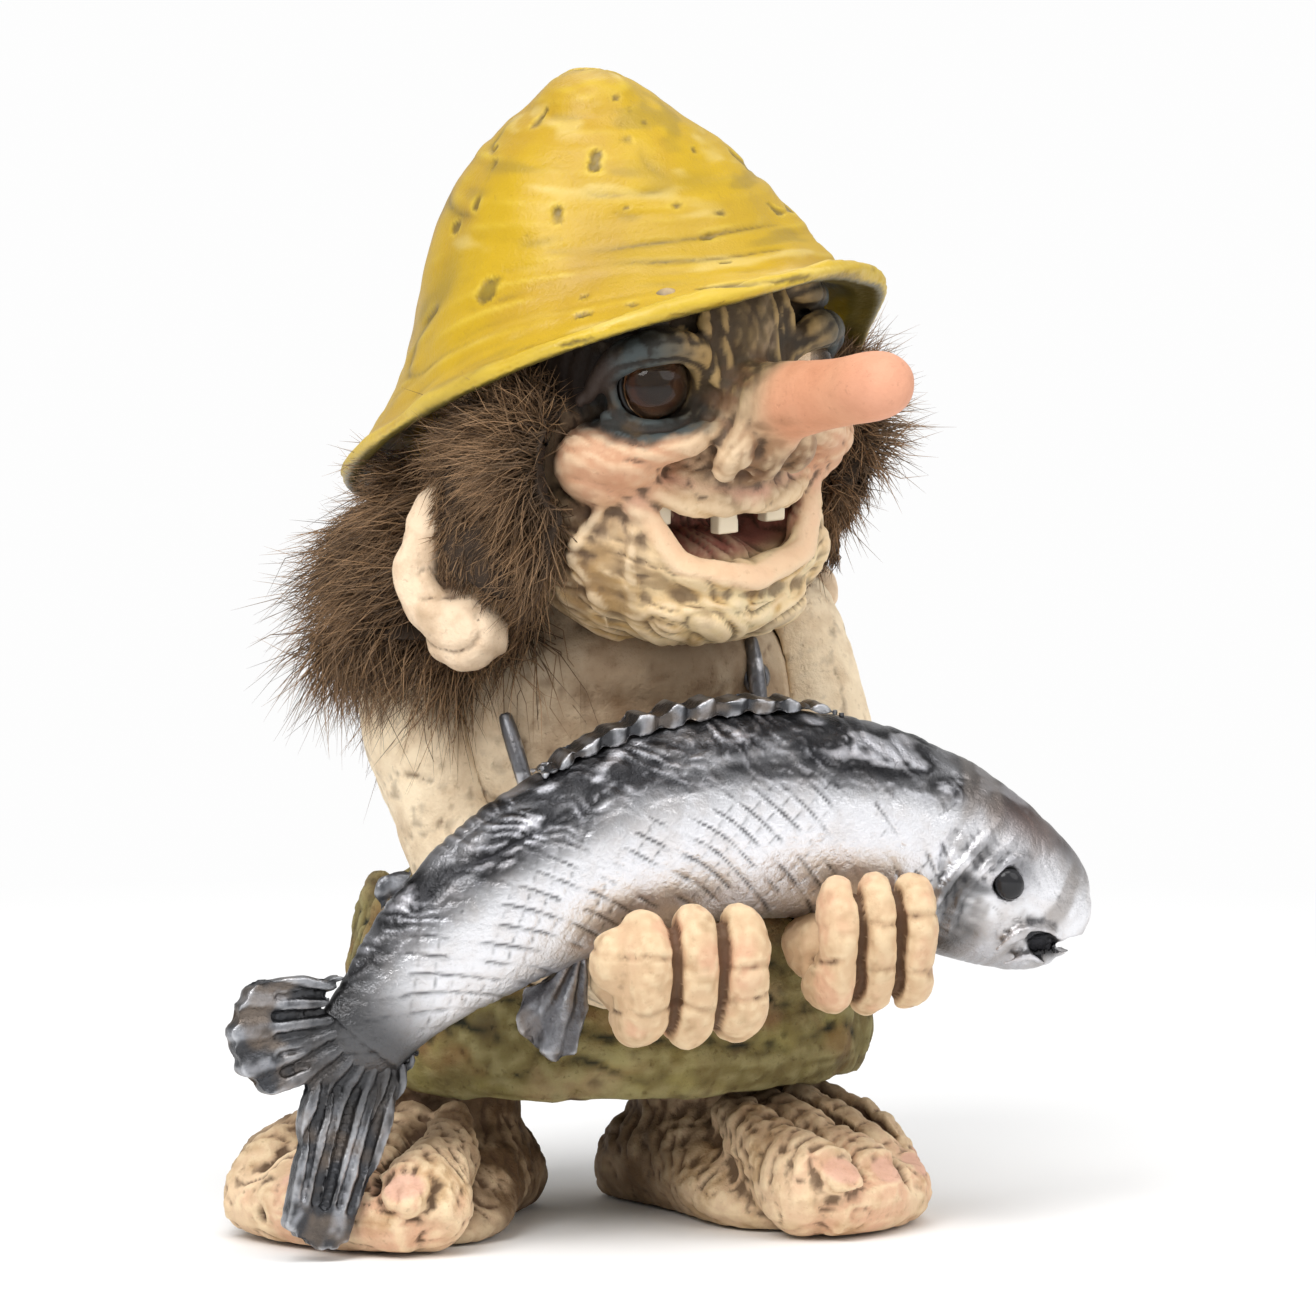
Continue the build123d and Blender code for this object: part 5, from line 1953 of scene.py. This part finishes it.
    def fins(self) -> None:
        """Make the fins, each with rays from its root, and the eyes."""
        roots = {
            "fish_tail_fin": (self.spot(-47.0, 0.0, 0.0), 13.0),
            "fish_dorsal_fin": (self.spot(-60.0, -60.0, 0.0), 60.0),
            "fish_adipose_fin": (self.spot(-32.0, 8.0, 0.0), 8.0),
            "fish_pelvic_fin": (self.spot(-24.0, -11.0, 0.0), 9.0),
        }
        for node, (root, count) in roots.items():
            fin = Casting.from_nodes(f"{node}_blade", node)
            if node == "fish_pelvic_fin":
                fin.add_cord(
                    [
                        self.spot(-25.0, -12.5, 0.0), self.spot(-30.5, -17.5, -1.0),
                        self.spot(-35.0, -23.0, -1.5)
                    ],
                    [1.6, 4.2, 3.0], FISH, 12, 0.4
                )
            if node == "fish_tail_fin":
                fin.add_ball(self.spot(-52.4, 0.0, 0.0), (6.0, 2.3, 7.8), (0.0, -52.4, 0.0), FISH)
            fin.fuse(0.35)
            fin.smooth(2)
            if node == "fish_tail_fin":
                fin.push((-66.0, -36.5, 33.0), (13, 12, 16), (-2.8, 0.0, -0.8))
            local = FISH.local(fin.read())
            angle = np.arctan2(local[:, 2] - root[2], local[:, 0] - root[0])
            rays = 0.5 + 0.5 * np.cos(angle * count * 2.0 + 1.2 * layered(local, 7.0, 133))
            fin.raise_by(-0.7 * rays ** 2 + 0.15 * layered(local, 2.0, 131))
            streak = layered(local, 2.0, 135, 3)
            fin.base((0.13, 0.13, 0.14) if node == "fish_pelvic_fin" else (0.06, 0.062, 0.068))
            fin.wash((0.36, 0.37, 0.40), ramp(1 - rays, 0.55, 0.95) * ramp(streak, -0.4, 0.3) * 0.85)
            fin.wash((0.26, 0.20, 0.15), ramp(layered(local, 4.0, 137), 0.0, 0.5) * 0.5)
            # painted highlight on the ridges
            fin.wash((0.66, 0.67, 0.70), ramp(-fin.hollows(3), 0.03, 0.16) * 0.6)
            # painted shade at the root of the tail fin
            if node == "fish_tail_fin":
                fin.wash(
                    (0.05, 0.05, 0.052),
                    ramp(near(local, self.spot(-51.5, 0.0, 0.0), (9, 9, 10)), 0.05, 0.5) * 0.8
                )
            fin.publish(Slot.SILVER, self.palette.silver, node)
        eye = Casting.from_nodes("fish_eye_button", "fish_eye")
        self.bend_head(eye)
        eye.base((0.02, 0.02, 0.022))
        eye.publish(Slot.FISH_EYE, self.palette.fish_eye, "fish_eye")

    def build(self) -> None:
        """Make the fish."""
        self.trunk()
        self.fins()


@dataclass
class Pile:
    """One patch of fur grown from a CAD node, in millimetres."""

    node: str
    strands: int
    length: float
    root_inset: float
    comb: Point
    seed: int
    parts: int = 1


class Fur(SubAssembly):
    """Brown fur: a dark hide under thousands of fine tapering strands."""

    WIDTH = 0.11
    TAPER_SHARES = (1.0, 0.95, 0.65, 0.08)
    RINGS = len(TAPER_SHARES)
    SIDES = 3
    BELOW_BRIM = 3.0
    EAR = ((33, -3, 97), (9, 10, 16))
    EAR_TRIM = 0.72
    PILES = (
        Pile("fur_back", 22000, 12.5, 6.0, (-0.10, 0.25, -0.75), 201, 4),
        Pile("fur_sideburn_right", 12000, 9.5, 4.5, (-0.4, 0.3, -0.8), 211, 2),
        Pile("fur_sideburn_left", 10000, 9.5, 5.8, (-0.05, 0.0, -1.2), 221, 2),
    )

    def roots(self, pile: Pile) -> tuple[np.ndarray, np.ndarray]:
        """Even random places on the node's skin with their normals.

        Args:
            pile: the patch.

        Returns:
            Places and normals, N x 3 each.
        """
        source = Casting.from_nodes(f"{pile.node}_hide", pile.node)
        source.fuse(1.2)
        source.smooth(2)
        source.write(source.read() - source.normals() * pile.root_inset)
        source.publish(Slot.FUR, self.palette.hide, pile.node)
        data = source.obj.data
        data.calc_loop_triangles()
        corners = np.empty(len(data.loop_triangles) * 3, dtype=np.int64)
        data.loop_triangles.foreach_get("vertices", corners)
        corners = corners.reshape(-1, 3)
        points, normals = source.read(), source.normals()
        a, b, c = points[corners[:, 0]], points[corners[:, 1]], points[corners[:, 2]]
        areas = np.linalg.norm(np.cross(b - a, c - a), axis=1)
        dice = np.random.default_rng(pile.seed)
        chosen = dice.choice(len(corners), size=pile.strands, p=areas / areas.sum())
        u, v = dice.random((2, pile.strands))
        flip = u + v > 1
        u, v = np.where(flip, 1 - u, u)[:, None], np.where(flip, 1 - v, v)[:, None]
        places = a[chosen] + u * (b[chosen] - a[chosen]) + v * (c[chosen] - a[chosen])
        local = HEAD.local(places)
        below = local[:, 2] < BRIM.height(local[:, 1]) - self.BELOW_BRIM
        return places[below], normals[corners[chosen, 0]][below]

    def grow(self, pile: Pile) -> None:
        """Make the strands of one patch.

        Args:
            pile: the patch.
        """
        places, normals = self.roots(pile)
        dice = np.random.default_rng(pile.seed + 1)
        count = len(places)
        drift = np.stack([layered(places, 9.0, pile.seed + step, 2) for step in range(3)], axis=1)
        tuft = np.stack([noise(places, 3.2, pile.seed + 5 + step) for step in range(3)], axis=1)
        comb = np.tile(np.array(pile.comb), (count, 1))
        comb[:, 2] *= ramp(108 - places[:, 2], -4, 14)
        if pile.node == "fur_back":
            comb[:, 0] += np.sign(places[:, 0]) * ramp(np.abs(places[:, 0]), 8, 24) * (
                ramp(places[:, 2], 82, 98) * 1.3 - ramp(80 - places[:, 2], 0, 12) * 0.4
            )
            comb[:, 2] -= 0.5 * ramp(80 - places[:, 2], 0, 12)
        way = normals * 0.42 + comb * 1.3 + drift * 0.8 + tuft * 0.6 + dice.normal(0, 0.2, (count, 3))
        way /= np.linalg.norm(way, axis=1)[:, None]
        sag = np.array([0.0, 0.0, -0.5]) + drift * 0.7 + dice.normal(0, 0.35, (count, 3))
        length = pile.length * (0.75 + 0.3 * dice.random(count) + 0.3 * layered(places, 6.0, pile.seed + 11))
        local = HEAD.local(places)
        local[:, 0] = np.abs(local[:, 0])
        length *= 1 - self.EAR_TRIM * ramp(near(local, *self.EAR), 0.25, 0.45)
        steps = np.linspace(0, 1, self.RINGS)
        lines = places[:, None, :] + way[:, None, :] * (steps[None, :, None] * length[:, None, None])
        lines = lines + sag[:, None, :] * (steps[None, :, None] ** 2 * length[:, None, None] * 0.45)
        bend = np.cross(way, dice.normal(0, 1, (count, 3)))
        swing = np.sin(steps[None, :] * dice.uniform(2.0, 6.0, (count, 1))) * length[:, None] * 0.15
        lines = lines + bend[:, None, :] * swing[:, :, None]
        across = np.cross(way, dice.normal(0, 1, (count, 3)))
        across /= np.linalg.norm(across, axis=1)[:, None]
        over = np.cross(way, across)
        widths = self.WIDTH * np.array(self.TAPER_SHARES)
        rings = []
        for side in range(self.SIDES):
            angle = 2 * math.pi * side / self.SIDES
            out = math.cos(angle) * across + math.sin(angle) * over
            rings.append(lines + out[:, None, :] * widths[None, :, None])
        points = np.stack(rings, axis=2).reshape(count, -1, 3)
        tone = np.clip(dice.random(count) ** 1.5 * 0.8 + 0.2 + 0.25 * tuft[:, 0], 0, 1)
        tones = np.clip(tone[:, None] * (0.25 + 0.85 * steps[None, :]), 0, 1)
        tones = np.repeat(tones, self.SIDES, axis=1)
        for part in range(pile.parts):
            self.store(f"{pile.node}_pile_{part + 1}", points[part::pile.parts], tones[part::pile.parts])

    def store(self, name: str, points: np.ndarray, tones: np.ndarray) -> None:
        """Turn strand points into one mesh piece.

        Args:
            name: piece name.
            points: strands x points x 3 array in millimetres, ring by ring.
            tones: strands x points array of lightness.
        """
        count, per = points.shape[:2]
        faces = []
        for ring in range(self.RINGS - 1):
            for side in range(self.SIDES):
                a, b = ring * self.SIDES + side, ring * self.SIDES + (side + 1) % self.SIDES
                faces.append([a, b, b + self.SIDES, a + self.SIDES])
        block = np.array(faces)
        all_faces = (block[None, :, :] + (np.arange(count) * per)[:, None, None]).reshape(-1, 4)
        caps = np.array([[2, 1, 0], [per - 3, per - 2, per - 1]])
        all_caps = (caps[None, :, :] + (np.arange(count) * per)[:, None, None]).reshape(-1, 3)
        pile = Casting.from_arrays(name, points.reshape(-1, 3), all_faces.tolist() + all_caps.tolist())
        attribute = pile.obj.data.attributes.new("tone", "FLOAT", "POINT")
        attribute.data.foreach_set("value", tones.ravel())
        pile.publish(Slot.FUR, self.palette.fur)

    def build(self) -> None:
        """Grow all patches."""
        for pile in self.PILES:
            self.grow(pile)


class Studio:
    """Floor, lights, white surroundings and the camera."""

    AZIMUTH = -18.0
    ELEVATION = 8.0
    TARGET = (7.17, -2.33, 79.7)
    WIDTH = 0.1908
    DISTANCE = 5.0

    def floor(self) -> None:
        """Lay a pale floor."""
        bpy.ops.mesh.primitive_plane_add(size=8.0, location=(0, 0, -0.0002))
        floor = bpy.context.active_object
        floor.name = "studio_floor"
        material, nodes, links, shader = fresh_material("floor_finish")
        shader.inputs["Base Color"].default_value = (0.90, 0.90, 0.90, 1.0)
        shader.inputs["Roughness"].default_value = 0.9
        shader.inputs["Specular IOR Level"].default_value = 0.1
        place = nodes.new("ShaderNodeTexCoord")
        length = nodes.new("ShaderNodeVectorMath")
        length.operation = "LENGTH"
        links.new(place.outputs["Object"], length.inputs[0])
        far = nodes.new("ShaderNodeMapRange")
        far.inputs["From Min"].default_value = 0.10
        far.inputs["From Max"].default_value = 0.34
        links.new(length.outputs["Value"], far.inputs["Value"])
        glow = nodes.new("ShaderNodeEmission")
        glow.inputs["Color"].default_value = (0.985, 0.985, 0.985, 1.0)
        path = nodes.new("ShaderNodeLightPath")
        seen = nodes.new("ShaderNodeMath")
        seen.operation = "MULTIPLY"
        links.new(far.outputs["Result"], seen.inputs[0])
        links.new(path.outputs["Is Camera Ray"], seen.inputs[1])
        mix = nodes.new("ShaderNodeMixShader")
        links.new(seen.outputs[0], mix.inputs["Fac"])
        links.new(shader.outputs["BSDF"], mix.inputs[1])
        links.new(glow.outputs["Emission"], mix.inputs[2])
        links.new(mix.outputs["Shader"], nodes["Material Output"].inputs["Surface"])
        floor.data.materials.append(material)

    def lamp(self, name: str, azimuth: float, elevation: float, size: float, power: float) -> None:
        """Add a soft area lamp aimed at the figure.

        Args:
            name: name of the lamp.
            azimuth: degrees round from the front.
            elevation: degrees up.
            size: width of the lamp in metres.
            power: power in watts.
        """
        data = bpy.data.lights.new(name, "AREA")
        data.shape = "DISK"
        data.size = size
        data.energy = power
        lamp = bpy.data.objects.new(name, data)
        bpy.context.scene.collection.objects.link(lamp)
        a, e = math.radians(azimuth), math.radians(elevation)
        way = Vector((math.sin(a) * math.cos(e), -math.cos(a) * math.cos(e), math.sin(e)))
        lamp.location = way * 1.4 + Vector((0, 0, 0.08))
        lamp.rotation_euler = way.to_track_quat("Z", "Y").to_euler()

    def world(self) -> None:
        """White surroundings."""
        world = bpy.data.worlds.new("studio_world")
        world.use_nodes = True
        bpy.context.scene.world = world
        nodes, links = world.node_tree.nodes, world.node_tree.links
        back = nodes["Background"]
        path = nodes.new("ShaderNodeLightPath")
        strength = nodes.new("ShaderNodeMapRange")
        strength.inputs["To Min"].default_value = 0.55
        strength.inputs["To Max"].default_value = 1.0
        total = nodes.new("ShaderNodeMath")
        total.operation = "MAXIMUM"
        links.new(path.outputs["Is Camera Ray"], total.inputs[0])
        links.new(path.outputs["Is Transmission Ray"], total.inputs[1])
        links.new(total.outputs[0], strength.inputs["Value"])
        links.new(strength.outputs["Result"], back.inputs["Strength"])
        back.inputs["Color"].default_value = (1.0, 1.0, 1.0, 1.0)

    def camera(self) -> None:
        """Camera at the photograph's viewing angle."""
        data = bpy.data.cameras.new("studio_camera")
        data.sensor_width = 36.0
        data.lens = 36.0 * self.DISTANCE / self.WIDTH
        data.clip_start, data.clip_end = 0.05, 20.0
        camera = bpy.data.objects.new("studio_camera", data)
        bpy.context.scene.collection.objects.link(camera)
        a, e = math.radians(self.AZIMUTH), math.radians(self.ELEVATION)
        way = Vector((math.sin(a) * math.cos(e), -math.cos(a) * math.cos(e), math.sin(e)))
        camera.location = Vector(self.TARGET) * MM + Vector(ORIGIN) + way * self.DISTANCE
        camera.rotation_euler = way.to_track_quat("Z", "Y").to_euler()
        bpy.context.scene.camera = camera

    def build(self) -> None:
        """Set up the studio."""
        bpy.context.scene.view_settings.view_transform = "Standard"
        self.floor()
        self.world()
        self.lamp("key_lamp", -50.0, 48.0, 0.9, 12.8)
        self.lamp("fill_lamp", 45.0, 35.0, 1.2, 5.4)
        self.lamp("top_lamp", 10.0, 75.0, 0.9, 6.5)
        self.lamp("back_lamp", 165.0, 45.0, 0.9, 2.5)
        self.camera()


def main() -> None:
    """Build the figure sub-assembly by sub-assembly."""
    random.seed(5)
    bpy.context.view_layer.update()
    palette = Palette()
    for assembly in (Body, Skirt, Feet, Head, Ears, Eyes, Teeth, Hat, Fish, Fur):
        assembly(palette).build()
        log.info("built %s", assembly.__name__)
    Studio().build()


if __name__ == "__main__":
    main()
